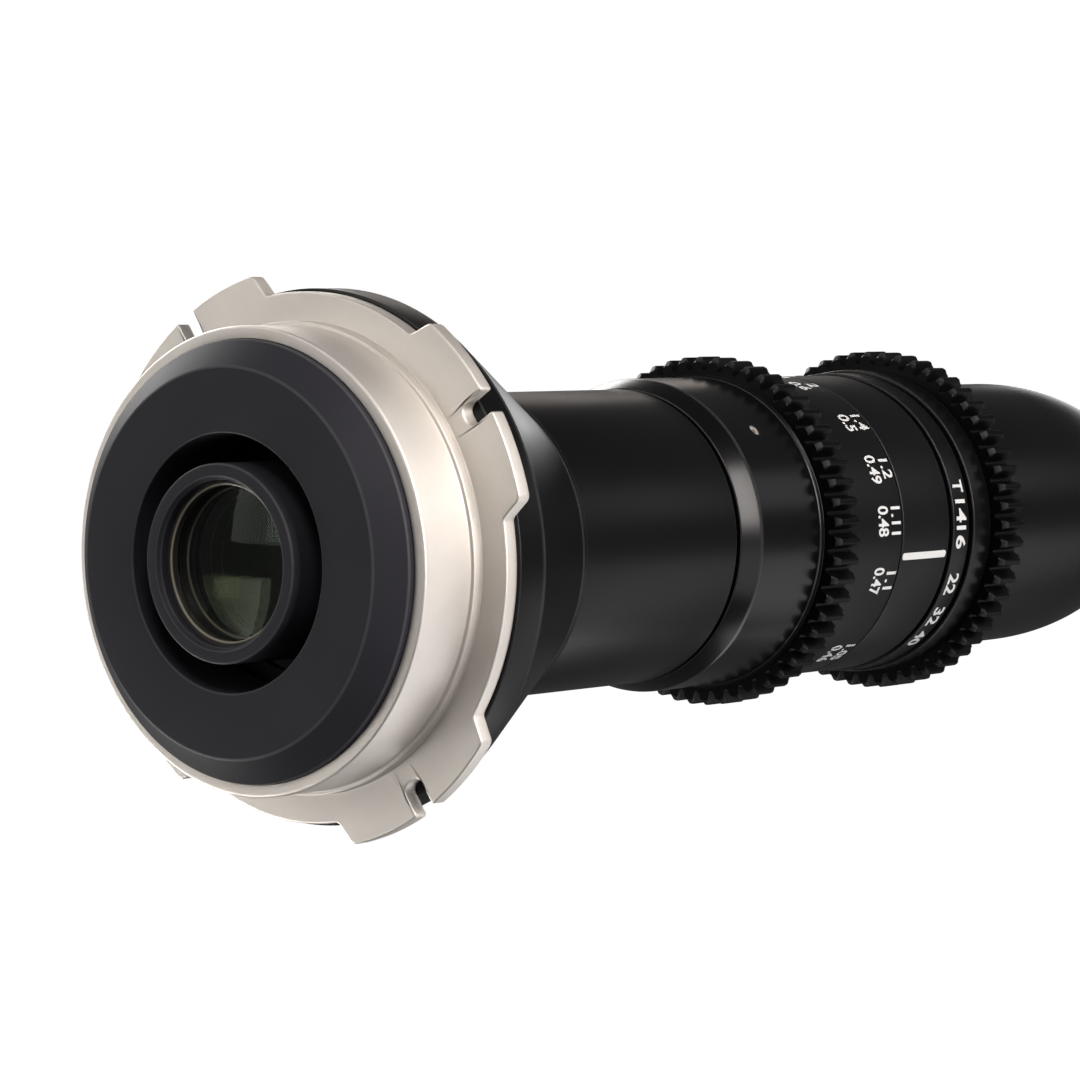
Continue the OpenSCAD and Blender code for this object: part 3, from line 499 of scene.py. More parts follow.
def rounded(corners: Array, steps: int = 4) -> tuple[Array, Array]:
    """A closed outline with each corner rounded.

    A corner c whose neighbours lie along the unit ways a and b becomes the curve (1-t)^2 (c + a d) + 2 t (1-t) c
    + t^2 (c + b d), where d is the corner's rounding, held to 45% of its shorter side.

    Args:
        corners: rows of two coordinates and a rounding.
        steps: pieces of each rounded corner.

    Returns:
        The points, and for each the share of an edge that it is, from 0 on a side to 1 in the middle of a corner.
    """
    spots, want = corners[:, :2], corners[:, 2]
    back, ahead = np.roll(spots, 1, 0) - spots, np.roll(spots, -1, 0) - spots
    back_len, ahead_len = np.linalg.norm(back, axis=1), np.linalg.norm(ahead, axis=1)
    reach = np.minimum(want, 0.45 * np.minimum(back_len, ahead_len))[:, None]
    start, end = spots + back / back_len[:, None] * reach, spots + ahead / ahead_len[:, None] * reach
    t = np.linspace(0, 1, steps + 1)[None, :, None]
    points = (1 - t) ** 2 * start[:, None] + 2 * t * (1 - t) * spots[:, None] + t ** 2 * end[:, None]
    share = np.broadcast_to(np.sin(np.pi * t[:, :, 0]) * (want[:, None] > 0), points.shape[:2])
    points, share = points.reshape(-1, 2), share.reshape(-1)
    keep = np.linalg.norm(points - np.roll(points, 1, 0), axis=1) > 1e-6
    return points[keep], share[keep]


def round_turn(steps: int) -> Array:
    """Even angles of one full turn in radians, without its end."""
    return np.linspace(0, 2 * np.pi, steps, endpoint=False)


def polar(radius: Array, clock: Array) -> Array:
    """Points at radii and clock angles in radians, as (towards +Z, towards -Y)."""
    return np.stack([radius * np.cos(clock), radius * np.sin(clock)], -1)


def about_axis(x: Array, radius: Array, clock: Array) -> Array:
    """Points at a place along the axis, a radius and a clock angle in radians, as (x, -r sin a, r cos a)."""
    return np.stack(np.broadcast_arrays(x, -radius * np.sin(clock), radius * np.cos(clock)), -1)


def linked(name: str, data: Any) -> bpy.types.Object:
    """Makes an object of a mesh, curve, lamp or camera and puts it into the scene."""
    made = bpy.data.objects.new(name, data)
    bpy.context.scene.collection.objects.link(made)
    return made


def worked_out(piece: bpy.types.Object) -> bpy.types.Mesh:
    """The mesh that an object's curve or modifiers make, as a mesh of its own."""
    return bpy.data.meshes.new_from_object(piece.evaluated_get(bpy.context.evaluated_depsgraph_get()))


def joined(made: bpy.types.Mesh, reach: float) -> None:
    """Merges a mesh's points that lie within a reach in metres, and faces it outwards."""
    knit = bmesh.new()
    knit.from_mesh(made)
    bmesh.ops.remove_doubles(knit, verts=knit.verts, dist=reach)
    bmesh.ops.recalc_face_normals(knit, faces=knit.faces)
    knit.to_mesh(made)
    knit.free()


@dataclass
class Sheet:
    """A surface as a grid of points: rows run along the profile and columns round the axis."""

    points: Array
    edge: Array
    closed_rows: bool = True

    def mesh(self, name: str, sharp: float = SHARP_DEGREES) -> bpy.types.Mesh:
        """Puts the grid into a mesh of quads, joins its doubles and faces it outwards.

        Args:
            name: the mesh's name.
            sharp: the angle in degrees past which an edge is shaded sharp.

        Returns:
            The mesh, in metres.
        """
        rows, columns = self.points.shape[:2]
        index = np.arange(rows * columns).reshape(rows, columns)
        low, high = (index, np.roll(index, -1, 0)) if self.closed_rows else (index[:-1], index[1:])
        quads = np.stack([low, high, np.roll(high, -1, 1), np.roll(low, -1, 1)], -1).reshape(-1, 4)
        made = bpy.data.meshes.new(name)
        made.from_pydata((self.points.reshape(-1, 3) * MM).tolist(), [], quads.tolist())
        edge = made.attributes.new("edge", "FLOAT", "POINT")
        edge.data.foreach_set("value", self.edge.reshape(-1).astype(np.float32))
        joined(made, 1e-7)
        made.polygons.foreach_set("use_smooth", np.ones(len(made.polygons), bool))
        made.set_sharp_from_angle(angle=math.radians(sharp))
        return made


def open_sheet(points: Array) -> Sheet:
    """A surface without rounded edges, whose first and last rows lie on its own axis and close it."""
    return Sheet(points, np.zeros(points.shape[:2]), closed_rows=False)


def turned(corners: Sequence[Corner]) -> Sheet:
    """A ring turned about the axis: a profile point (x, r) goes to (x, -r sin a, r cos a) for a over a full turn.

    Args:
        corners: the profile's corners as place along the axis, radius and rounding.

    Returns:
        The surface.
    """
    profile, share = rounded(np.array(corners, float))
    points = about_axis(profile[:, :1], profile[:, 1:], round_turn(SEGMENTS))
    return Sheet(points, np.broadcast_to(share[:, None], points.shape[:2]))


def bowl(curve: float, radius: Array, rim: float) -> Array:
    """How far a spherical face of that radius of curvature stands past its rim at a radius; hollow where negative."""
    return np.sign(curve) * (np.sqrt(curve ** 2 - radius ** 2) - np.sqrt(curve ** 2 - rim ** 2))


@dataclass(frozen=True)
class Openings:
    """Openings cut into a ring from outside: their place, clock angles, floor and the cutter's reach from the axis."""

    x: float
    clocks: tuple[float, ...]
    floor: float
    reach: float
    screw_radius: float = 0.82
    screw_steps: int = 40

    def cut(self, solid: bpy.types.Mesh, outline: Array) -> bpy.types.Mesh:
        """Cuts the ring with an outline that is carried outwards along a radius, from the floor to the reach.

        Args:
            solid: the ring's mesh, which is used up.
            outline: rows of a place along the axis and a place across, about the opening's middle.

        Returns:
            The cut mesh.
        """
        wide = np.array([0.0, 1.0, 1.0, 0.0])[:, None]
        high = np.array([self.floor, self.floor, self.reach, self.reach])[:, None]
        along, across = self.x + wide * outline[:, 0], wide * outline[:, 1]
        ring = linked("ring", solid)
        tools = []
        for clock in np.radians(self.clocks):
            sine, cosine = np.sin(clock), np.cos(clock)
            points = np.stack(np.broadcast_arrays(
                along, -high * sine - across * cosine, high * cosine - across * sine), -1)
            tools.append(linked("drill", open_sheet(points).mesh("drill")))
            hole = ring.modifiers.new("hole", "BOOLEAN")
            hole.operation, hole.solver, hole.object = "DIFFERENCE", "EXACT", tools[-1]
        made = worked_out(ring)
        for piece in (ring, *tools):
            spent = piece.data
            bpy.data.objects.remove(piece)
            bpy.data.meshes.remove(spent)
        made.set_sharp_from_angle(angle=math.radians(SHARP_DEGREES))
        return made

    def drilled(self, solid: bpy.types.Mesh) -> bpy.types.Mesh:
        """Cuts the round holes of set screws into the ring, whose mesh is used up."""
        return self.cut(solid, polar(np.full(self.screw_steps, self.screw_radius), round_turn(self.screw_steps)))


@dataclass(frozen=True)
class Element:
    """A lens element, as the solids have it: its rear rim, thickness, rim radius and the curves of its faces."""

    x: float
    thick: float
    rim: float
    rear: float
    front: float
    steps: int = 28
    segments: int = 128

    def sheet(self) -> Sheet:
        """Two spherical faces and the rim between them, turned about the axis.

        Returns:
            The surface, whose poles lie on the axis.
        """
        r = np.linspace(0, self.rim, self.steps)
        x = np.concatenate([self.x - bowl(self.rear, r, self.rim),
                            self.x + self.thick + bowl(self.front, r[::-1], self.rim)])
        r = np.concatenate([r, r[::-1]])
        return open_sheet(about_axis(x[:, None], r[:, None], round_turn(self.segments)))


@dataclass(frozen=True)
class Gear:
    """A follow-focus gear ring: straight-flanked teeth, bevelled at both ends.

    The root's depth is a share of the module. Each row of ends is a distance from the end face and the share of the
    bevel that the tips have lost there.
    """

    x: float
    teeth: int
    bore: float
    width: float = 5.2
    module: float = 0.8
    flank_degrees: float = 20.0
    root_depth: float = 1.25
    root_round: float = 0.22
    tip_round: float = 0.13
    bevel: float = 0.72
    ends: tuple[tuple[float, float], ...] = (
        (0.0, 1.0), (0.04, 0.92), (0.2448, 0.66), (0.4824, 0.33), (0.648, 0.10), (0.72, 0.0), (0.84, 0.0))
    sharp_degrees: float = 28.0

    def mesh(self, name: str) -> bpy.types.Mesh:
        """The outline of all teeth with rounded tips and roots, carried along x and cut by the two end bevels.

        Args:
            name: the mesh's name.

        Returns:
            The mesh, whose rows run from the rear bore over the teeth to the front bore.
        """
        pitch, half = self.module * self.teeth / 2, math.pi * self.module / 4
        tip, root = pitch + self.module, pitch - self.root_depth * self.module
        lean = self.module * math.tan(math.radians(self.flank_degrees))
        half_angle = np.array([half + lean, half, half - lean]) / [root, pitch, tip]
        angle = np.concatenate([-half_angle, half_angle[::-1]])
        radius = np.array([root, pitch, tip, tip, pitch, root])
        cut = np.array([self.root_round, 0.0, self.tip_round, self.tip_round, 0.0, self.root_round])
        clock = (angle[None] + round_turn(self.teeth)[:, None]).reshape(-1)
        corners = np.column_stack([polar(np.tile(radius, self.teeth), clock), np.tile(cut, self.teeth)])
        outline, _ = rounded(corners, steps=3)
        reach, clock = np.hypot(outline[:, 0], outline[:, 1]), np.arctan2(outline[:, 1], outline[:, 0])
        place, lost = np.array(self.ends).T
        front = self.x + self.width
        x = np.concatenate([[self.x], self.x + place, front - place[::-1], [front]])
        lost = np.concatenate([lost, lost[::-1]])
        bore = np.full((1, len(clock)), self.bore)
        rows = np.concatenate([bore, np.minimum(reach[None], tip - self.bevel * lost[:, None]), bore])
        # Edge share on the tooth-end bevels above the pitch circle, where the pale edge colour paints highlights
        on_bevel = np.concatenate([[0], (lost > 0) & (lost < 1), [0]])[:, None]
        return Sheet(about_axis(x[:, None], rows, clock), on_bevel * np.clip(rows - pitch, 0, 1)).mesh(
            name, self.sharp_degrees)


def typed(text: str) -> tuple[Array, list[list[int]]]:
    """A text in the built-in type.

    Args:
        text: what it says.

    Returns:
        Its points as (across, up, depth), with the depth from -0.5 to 0.5, and its faces.
    """
    curve = bpy.data.curves.new("figure", "FONT")
    curve.body, curve.extrude, curve.resolution_u, curve.offset = text, 0.5, TYPE_STEPS, TYPE_WEIGHT
    holder = linked("figure", curve)
    flat = worked_out(holder)
    spot = np.empty(len(flat.vertices) * 3)
    flat.vertices.foreach_get("co", spot)
    sides = [list(face.vertices) for face in flat.polygons]
    bpy.data.objects.remove(holder)
    bpy.data.curves.remove(curve)
    bpy.data.meshes.remove(flat)
    return spot.reshape(-1, 3), sides


@dataclass(frozen=True)
class Drum:
    """The surface that numbers and lines are painted on; the paint stands out by lift and is sunk about as deep."""

    radius: float
    lift: float = 0.025
    deep: float = 0.03

    def wrap(self, flat: Array, x: float, clock: float) -> Array:
        """Bends flat points round the drum: across goes to the clock angle, up to x, and height to the radius.

        Args:
            flat: points as (across, up, height) in millimetres, across along the growing clock angle.
            x: the place of the flat origin along the axis.
            clock: the clock angle of the flat origin, in degrees.

        Returns:
            The bent points.
        """
        return about_axis(x + flat[:, 1], self.radius + flat[:, 2], math.radians(clock) + flat[:, 0] / self.radius)

    def figures(self, name: str, marks: Sequence[Mark]) -> bpy.types.Mesh:
        """Painted figures, made from the built-in type and bent round the drum.

        Args:
            name: the mesh's name.
            marks: for each the text, the place of its foot along the axis, its middle's clock angle, its height and
                its width, in millimetres.

        Returns:
            One mesh with all of them.
        """
        spots: list[Array] = []
        faces: list[list[int]] = []
        for text, x, clock, height, width in marks:
            spot, sides = typed(text)
            low, high = spot.min(0), spot.max(0)
            spot = (spot - [(low[0] + high[0]) / 2, low[1], 0]) * [
                width / (high[0] - low[0]), height / (high[1] - low[1]), 2 * self.deep]
            spot[:, 2] += self.lift - self.deep
            first = sum(map(len, spots))
            spots.append(self.wrap(spot, x, clock))
            faces += [[first + corner for corner in side] for side in sides]
        made = bpy.data.meshes.new(name)
        made.from_pydata((np.concatenate(spots) * MM).tolist(), [], faces)
        joined(made, 1e-8)
        return made

    def line(self, name: str, ends: tuple[float, float], clock: float, width: float) -> bpy.types.Mesh:
        """A painted line along the axis: a flat outline with round ends, drawn in a little at its upper edge.

        Args:
            name: the mesh's name.
            ends: the places of its ends along the axis.
            clock: its clock angle in degrees.
            width: its width in millimetres.

        Returns:
            The mesh.
        """
        half, (rear, front) = width / 2, ends
        outline, _ = rounded(np.array([
            (-half, rear, half), (half, rear, half), (half, front, half), (-half, front, half)]), steps=6)
        across, along = outline.T
        rows = [(0.0, -self.deep), (1.0, -self.deep), (1.0, self.lift * 0.7), (0.86, self.lift), (0.0, self.lift)]
        return open_sheet(np.stack([
            self.wrap(np.column_stack([across * share, along, np.full_like(along, height)]), 0.0, clock)
            for share, height in rows])).mesh(name)


# Groups of pieces


@dataclass
class Assembly:
    """A group of pieces that ride on one body."""

    rack: Rack
    body: ClassVar[Body] = Body.HOUSING

    def add(self, name: str, made: bpy.types.Mesh, finish: Finish, *nodes: str,
            slot: Slot = Slot.BLACK_ANODISED) -> None:
        """Puts a mesh into the scene, dressed, riding on the body and standing for its solids.

        Args:
            name: the piece's name.
            made: its mesh, in place.
            finish: its finish.
            nodes: the solids that it stands for.
            slot: the record's material slot; not used.
        """
        piece = linked(name, made)
        made.materials.append(self.rack.of(finish))
        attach(piece, self.body.value)
        if nodes:
            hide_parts(*nodes)
        log.info("%s on %s: %d faces", name, self.body.value, len(made.polygons))

    def ring(self, node: str, profile: Profile, finish: Finish = Finish.SHELL) -> None:
        """Adds a turned piece that stands for one solid.

        Args:
            node: the solid's name.
            profile: its corners.
            finish: its finish.
        """
        self.add(f"{node}_turned", turned(profile).mesh(f"{node} turned"), finish, node)


@dataclass
class CameraMount(Assembly):
    """The bright flange with its four notched ears, and the register behind it.

    Angles are in degrees. The profile is worked out up to a circle a margin outside the ears, and then drawn in.
    """

    rim_x: float = -9.3
    bore: float = 25.5
    register: float = 27.0
    shoulder: float = 27.5
    shoulder_len: float = 1.5
    flange: float = 30.9
    thick: float = 2.0
    bevel: float = 0.28
    inner: float = 16.43
    web: float = -2.0
    ears: int = 4
    ear: float = 33.7
    ear_clock: float = 56.2
    ear_tip: float = 20.0
    tip_lean: float = 0.4
    ear_root: float = 23.5
    notch: float = 2.8
    notch_floor: float = 29.9
    root_round: float = 2.2
    tip_round: float = 1.4
    lip_round: float = 0.45
    floor_round: float = 1.2
    arc_gap: float = 2.0
    lip_gap: float = 1.5
    tip_steps: int = 12
    arc_steps: int = 22
    margin: float = 1.0

    def outline(self) -> tuple[Array, Array]:
        """The flange's outline: for each ear a root, a tip, a notch, the other tip and root, with arcs between.

        Returns:
            The points as (towards +Z, towards -Y), and the unit normals that point out of it.
        """
        apart = 360 / self.ears
        half_top = math.degrees(math.asin(self.notch / 2 / self.ear))
        half_floor = math.degrees(math.asin(self.notch / 2 / self.notch_floor))
        side = [(-self.ear_root, self.flange, self.root_round),
                (-self.ear_tip - self.tip_lean, self.ear, self.tip_round)]
        side += [(a, self.ear, 0.0) for a in np.linspace(
            -self.ear_tip + self.arc_gap, -half_top - self.lip_gap, self.tip_steps)]
        side += [(-half_top, self.ear, self.lip_round), (-half_floor, self.notch_floor, self.floor_round)]
        ear = side + [(-a, r, cut) for a, r, cut in reversed(side)]
        start = self.ear_root + self.arc_gap
        ear += [(a, self.flange, 0.0) for a in np.linspace(start, apart - start, self.arc_steps)]
        angle, radius, cut = np.array(ear).T
        turns = self.ear_clock + apart * np.arange(self.ears)
        clock = np.radians((angle[None] + turns[:, None]).reshape(-1))
        corners = np.column_stack([polar(np.tile(radius, self.ears), clock), np.tile(cut, self.ears)])
        points, _ = rounded(corners, steps=6)
        along = np.roll(points, -1, 0) - np.roll(points, 1, 0)
        along /= np.linalg.norm(along, axis=1)[:, None]
        return points, np.stack([along[:, 1], -along[:, 0]], -1)

    def build(self) -> None:
        """Carries the outline along the profile: rows in the shoulder are circles, the others the outline drawn in."""
        edge_points, outward = self.outline()
        top = self.ear + self.margin
        profile, share = rounded(np.array([
            (self.rim_x, self.bore, 0.1), (self.rim_x, self.register, 0.35), (-self.shoulder_len, self.register, 0.12),
            (-self.shoulder_len, self.shoulder, 0.2), (0.0, self.shoulder, 0.12), (0.0, top, self.bevel),
            (self.thick, top, self.bevel), (self.thick, self.inner, 0.1), (self.web, self.inner, 0.1),
            (self.web, self.bore, 0.1)]))
        inset = (top - profile[:, 1])[:, None, None]
        clock = np.maximum.accumulate(np.unwrap(np.arctan2(edge_points[:, 1], edge_points[:, 0])))
        circle = polar(profile[:, 1:], clock[None, :])
        flat = np.where(inset < self.margin, edge_points[None] - outward[None] * inset, circle)
        points = np.stack([np.broadcast_to(profile[:, :1], flat.shape[:2]), -flat[..., 1], flat[..., 0]], -1)
        share = np.broadcast_to(share[:, None], points.shape[:2])
        self.add("mount_flange", Sheet(points, share).mesh("mount flange"), Finish.NICKEL, "lens_mount",
                 slot=Slot.MOUNT_STEEL)


@dataclass
class RearGlass(Assembly):
    """The black baffle, and the cell, retainer and glass in its well."""

    baffle: Profile = (
        (-12.8, 14.8, 0.25), (-12.8, 22.4, 0.28), (-10.15, 25.47, 0.25), (-2.0, 25.47, 0.1), (-2.0, 24.37, 0.1),
        (-9.75, 24.37, 0.1), (-11.2, 22.0, 0.1), (-11.2, 15.7, 0.1), (-2.6, 15.7, 0.1), (-2.6, 14.8, 0.1))
    cell: Profile = (
        (-13.9, 9.98, 0.1), (-13.9, 11.46, 0.3), (1.0, 11.46, 0.1), (1.0, 13.57, 0.1), (23.0, 13.57, 0.1),
        (23.0, 9.53, 0.1), (-2.0, 8.2, 0.1), (-3.63, 8.2, 0.15), (-3.63, 9.53, 0.1), (-13.45, 9.53, 0.15))
    retainer: Profile = ((-12.4, 8.9, 0.5), (-12.4, 9.5, 0.05), (-11.4, 9.5, 0.05), (-11.4, 8.9, 0.1))
    spacer: Profile = ((-8.23, 8.1, 0.3), (-8.23, 9.5, 0.05), (-7.03, 9.5, 0.05), (-7.03, 8.1, 0.1))
    rear: Element = Element(-11.23, 3.0, 9.5, 34.0, -68.0)
    inner: Element = Element(-7.03, 2.6, 9.5, -30.0, 30.0)

    def build(self) -> None:
        """Turns the four rings and shapes the two elements."""
        self.ring("rear_baffle", self.baffle, Finish.BAFFLE)
        self.ring("rear_cell", self.cell, Finish.BAFFLE)
        self.ring("rear_retainer", self.retainer, Finish.LIPPED)
        self.ring("rear_spacer", self.spacer, Finish.LIPPED)
        self.add("rear_glass", self.rear.sheet().mesh("rear glass"), Finish.GREEN_GLASS, "rear_element",
                 slot=Slot.COATED_GLASS)
        self.add("rear_inner_glass", self.inner.sheet().mesh("rear inner glass"), Finish.OLIVE_GLASS,
                 "rear_inner_element", slot=Slot.COATED_GLASS)


@dataclass
class Barrel(Assembly):
    """The black disc and cone behind the flange, and the plain barrel."""

    base: Profile = (
        (2.0, 16.43, 0.1), (2.0, 31.3, 0.25), (6.4, 31.3, 0.5), (27.4, 19.95, 0.35), (28.3, 19.95, 0.2),
        (28.3, 17.53, 0.1), (21.3, 17.53, 0.1), (21.3, 18.73, 0.2), (6.4, 28.9, 0.4), (5.0, 28.9, 0.2),
        (5.0, 16.43, 0.1))
    barrel: Profile = (
        (21.7, 16.43, 0.1), (21.7, 17.5, 0.1), (28.3, 17.5, 0.0), (28.3, 18.75, 0.1), (59.6, 18.75, 0.25),
        (59.6, 16.43, 0.1))

    def build(self) -> None:
        """Turns the base and the barrel."""
        self.ring("mount_base", self.base)
        self.ring("rear_barrel", self.barrel)


@dataclass
class FocusRing(Assembly):
    """The focus ring with its bevelled rear end, its gear and its distance scale.

    Each row of figures is a clock angle, and the text and its width in the rear and in the front column.
    """

    body: ClassVar[Body] = Body.FOCUS
    shell: Profile = (
        (60.2, 17.38, 0.1), (60.2, 18.85, 0.15), (63.0, 20.1, 0.35), (75.55, 20.1, 0.2), (75.95, 20.5, 0.1),
        (76.0, 18.8, 0.1), (94.0, 18.8, 0.1), (94.0, 17.38, 0.1))
    screws: Openings = Openings(68.7, (47.0, 167.0, 287.0), 18.0, 21.0)
    scale: Profile = ((81.2, 18.83, 0.1), (81.2, 20.0, 0.15), (94.2, 20.0, 0.22), (94.2, 18.83, 0.1))
    gear: Gear = Gear(76.0, 55, 18.83)
    drum: Drum = Drum(20.0)
    rear_x: float = 88.8
    rear_height: float = 2.3
    front_x: float = 91.75
    front_height: float = 2.1
    figures: tuple[tuple[float, str, float, str, float], ...] = (
        (145, "0.46", 3.9, "1.05", 3.7), (109, "0.47", 3.8, "1.1", 2.5), (86, "0.48", 4.0, "1.11", 3.7),
        (66, "0.49", 4.0, "1.2", 2.8), (45, "0.5", 3.0, "1.4", 2.8), (19, "0.6", 3.0, "2", 1.3),
        (5, "1", 0.6, "3", 1.3))

    def build(self) -> None:
        """Turns the ring, cuts the gear and paints the two columns of distances."""
        shell = turned(self.shell).mesh("focus ring turned")
        self.add("focus_ring_turned", self.screws.drilled(shell), Finish.COLLAR, "focus_ring")
        self.ring("scale_ring", self.scale, Finish.SATIN)
        self.add("focus_teeth", self.gear.mesh("focus teeth"), Finish.TOOTH, "focus_gear")
        marks = [(text, self.rear_x, clock, self.rear_height, wide) for clock, text, wide, _, _ in self.figures]
        marks += [(text, self.front_x, clock, self.front_height, wide) for clock, _, _, text, wide in self.figures]
        self.add("distance_figures", self.drum.figures("distance figures", marks), Finish.PAINT)


@dataclass
class IndexRing(Assembly):
    """The fixed ring between the scales, with the index line and two set screws underneath."""

    band: Profile = ((94.5, 17.63, 0.1), (94.5, 20.0, 0.22), (105.4, 20.0, 0.22), (105.4, 17.63, 0.1))
    screws: Openings = Openings(99.95, (205.0, 325.0), 17.0, 21.0)
    drum: Drum = Drum(20.0)
    line_ends: tuple[float, float] = (94.75, 104.9)
    line_clock: float = 100.0
    line_width: float = 0.95

    def build(self) -> None:
        """Turns and drills the ring and paints the line."""
        band = turned(self.band).mesh("index ring turned")
        self.add("index_ring_turned", self.screws.drilled(band), Finish.SATIN, "index_ring")
        line = self.drum.line("index line", self.line_ends, self.line_clock, self.line_width)
        self.add("index_line", line, Finish.PAINT)


@dataclass
class ApertureRing(Assembly):
    """The ring that works the iris, with its scale and its gear."""

    body: ClassVar[Body] = Body.APERTURE
    band: Profile = (
        (106.0, 17.64, 0.1), (106.0, 20.3, 0.25), (109.7, 20.3, 0.25), (109.7, 19.2, 0.1), (110.3, 19.2, 0.1),
        (110.3, 20.7, 0.25), (114.3, 20.7, 0.2), (114.3, 19.2, 0.1), (119.5, 19.2, 0.1), (119.5, 17.64, 0.1))
    gear: Gear = Gear(114.3, 56, 19.23)
    drum: Drum = Drum(20.3)
    foot_x: float = 106.65
    height: float = 2.3
    stops: tuple[tuple[str, float, float], ...] = (
        ("T", 74.5, 1.7), ("14", 84.0, 3.1), ("16", 94.0, 3.1), ("22", 112.5, 3.1), ("32", 127.0, 3.1),
        ("40", 139.0, 3.1))

    def build(self) -> None:
        """Turns the ring, cuts the gear and paints the stops."""
        self.ring("aperture_ring", self.band)
        self.add("iris_teeth", self.gear.mesh("iris teeth"), Finish.TOOTH, "aperture_gear")
        marks = [(text, self.foot_x, clock, self.height, wide) for text, clock, wide in self.stops]
        self.add("stop_figures", self.drum.figures("stop figures", marks), Finish.PAINT)


@dataclass
class FrontHousing(Assembly):
    """The rounded housing in front of the iris, with the opening of the power socket, and the probe tube."""

    neck: Profile = ((94.56, 15.13, 0.05), (94.56, 17.6, 0.05), (120.1, 17.6, 0.0), (120.1, 18.4, 0.25))
    nose: float = 18.4
    lip: float = 11.2
    lip_round: float = 0.4
    bore: float = 9.73
    curve_x: float = 142.5
    curve_len: float = 34.4
    curve_steps: int = 40
    inside: Profile = (
        (148.5, 9.73, 0.1), (148.5, 14.2, 0.1), (142.5, 16.2, 0.1), (104.3, 16.2, 0.1), (104.3, 15.13, 0.1))
    socket: Openings = Openings(128.9, (180.0,), 14.0, 20.0)
    socket_half: tuple[float, float] = (1.4, 3.8)
    socket_round: float = 0.4
    tube: Profile = (
        (149.5, 8.6, 0.1), (149.5, 9.7, 0.1), (170.6, 9.7, 0.0), (170.6, 10.0, 0.08), (395.0, 10.0, 0.12),
        (395.0, 8.6, 0.1))

    def build(self) -> None:
        """Turns the housing, whose nose falls as r = nose sqrt(1 - ((x - curve_x) / curve_len)^2), and the tube."""
        fall = np.linspace(0, math.asin(math.sqrt(1 - (self.lip / self.nose) ** 2)), self.curve_steps)
        nose = [(self.curve_x + self.curve_len * math.sin(t), self.nose * math.cos(t), 0.0) for t in fall]
        end_x, end, _ = nose.pop()
        shell = turned([*self.neck, *nose, (end_x, end, self.lip_round), (end_x, self.bore, 0.05), *self.inside])
        half_x, half_across = self.socket_half
        opening, _ = rounded(np.array([
            (-half_x, -half_across, self.socket_round), (half_x, -half_across, self.socket_round),
            (half_x, half_across, self.socket_round), (-half_x, half_across, self.socket_round)]))
        self.add("front_housing_turned", self.socket.cut(shell.mesh("front housing turned"), opening), Finish.SHELL,
                 "front_housing")
        self.ring("probe_tube", self.tube)


@dataclass
class ProbeTip(Assembly):
    """The tip's bezel, the objective's cell and the front glass."""

    bezel: Profile = (
        (395.0, 9.1, 0.1), (395.0, 10.0, 0.12), (399.0, 10.0, 0.3), (400.0, 9.5, 0.3), (400.0, 9.1, 0.12))
    cell: Profile = (
        (386.4, 2.9, 0.1), (386.4, 8.57, 0.1), (388.8, 8.57, 0.1), (388.8, 4.4, 0.1), (400.0, 4.4, 0.35),
        (400.0, 3.5, 0.1), (399.6, 3.3, 0.1), (392.6, 3.3, 0.05), (392.6, 2.9, 0.05))
    front: Element = Element(397.5, 1.6, 3.27, -18.0, 9.0, steps=20, segments=96)

    def build(self) -> None:
        """Turns the bezel and the cell, and shapes the front element."""
        self.ring("tip_bezel", self.bezel)
        self.ring("objective_cell", self.cell, Finish.SATIN)
        self.add("front_glass", self.front.sheet().mesh("front glass"), Finish.PLAIN_GLASS, "front_element",
                 slot=Slot.COATED_GLASS)


@dataclass
class InnerWorks:
    """Finishes for the solids that stay as they are: by their material slot, or by their own name."""

    rack: Rack
    by_slot: Mapping[Slot, Finish] = field(default_factory=lambda: {
        Slot.MOUNT_STEEL: Finish.NICKEL, Slot.BLACK_ANODISED: Finish.INNER, Slot.BRIGHT_STEEL: Finish.STEEL,
        Slot.SLEEVE_BRASS: Finish.BRASS, Slot.BLADE_STEEL: Finish.BLADE, Slot.COATED_GLASS: Finish.OLIVE_GLASS,
        Slot.WINDOW_RESIN: Finish.PLAIN_GLASS, Slot.CIRCUIT_BOARD: Finish.BOARD, Slot.LIGHT_CHIP: Finish.PHOSPHOR,
        Slot.WIRE_INSULATION: Finish.COVER})
    by_node: Mapping[str, Finish] = field(default_factory=lambda: {
        "focus_screws": Finish.NICKEL, "index_screws": Finish.NICKEL})

    def dress(self, frame: Mapping[str, Any]) -> None:
        """Gives each solid its finish.
        """
        slots = {part["node"]: Slot(part["material_slot"]) for part in frame["record"]["subparts"]}
        for node, solid in frame["nodes"].items():
            material = self.rack.of(self.by_node.get(node, self.by_slot[slots[node]]))
            if not solid.material_slots:
                solid.data.materials.append(material)
            for place in solid.material_slots:
                place.material = material
        log.info("dressed %d solids", len(slots))


# The studio


def facing(way: Vector) -> Euler:
    """The turn of a lamp or camera that looks along a way and stands upright."""
    return way.to_track_quat("-Z", "Y").to_euler()


@dataclass(frozen=True)
class Softbox:
    """A rectangular lamp in metres that faces its aim; its power is its glow times pi times its area."""

    name: str
    at: tuple[float, float, float]
    aim: tuple[float, float, float]
    size: tuple[float, float]
    glow: float
    tint: Colour = (1.0, 1.0, 1.0)

    def hang(self) -> None:
        """Puts the lamp into the scene, unseen by the camera."""
        data = bpy.data.lights.new(self.name, "AREA")
        data.shape, data.color, (data.size, data.size_y) = "RECTANGLE", self.tint, self.size
        data.energy = self.glow * math.pi * self.size[0] * self.size[1]
        lamp = linked(self.name, data)
        lamp.visible_camera = False
        lamp.location = self.at
        lamp.rotation_euler = facing(Vector(self.aim) - Vector(self.at))


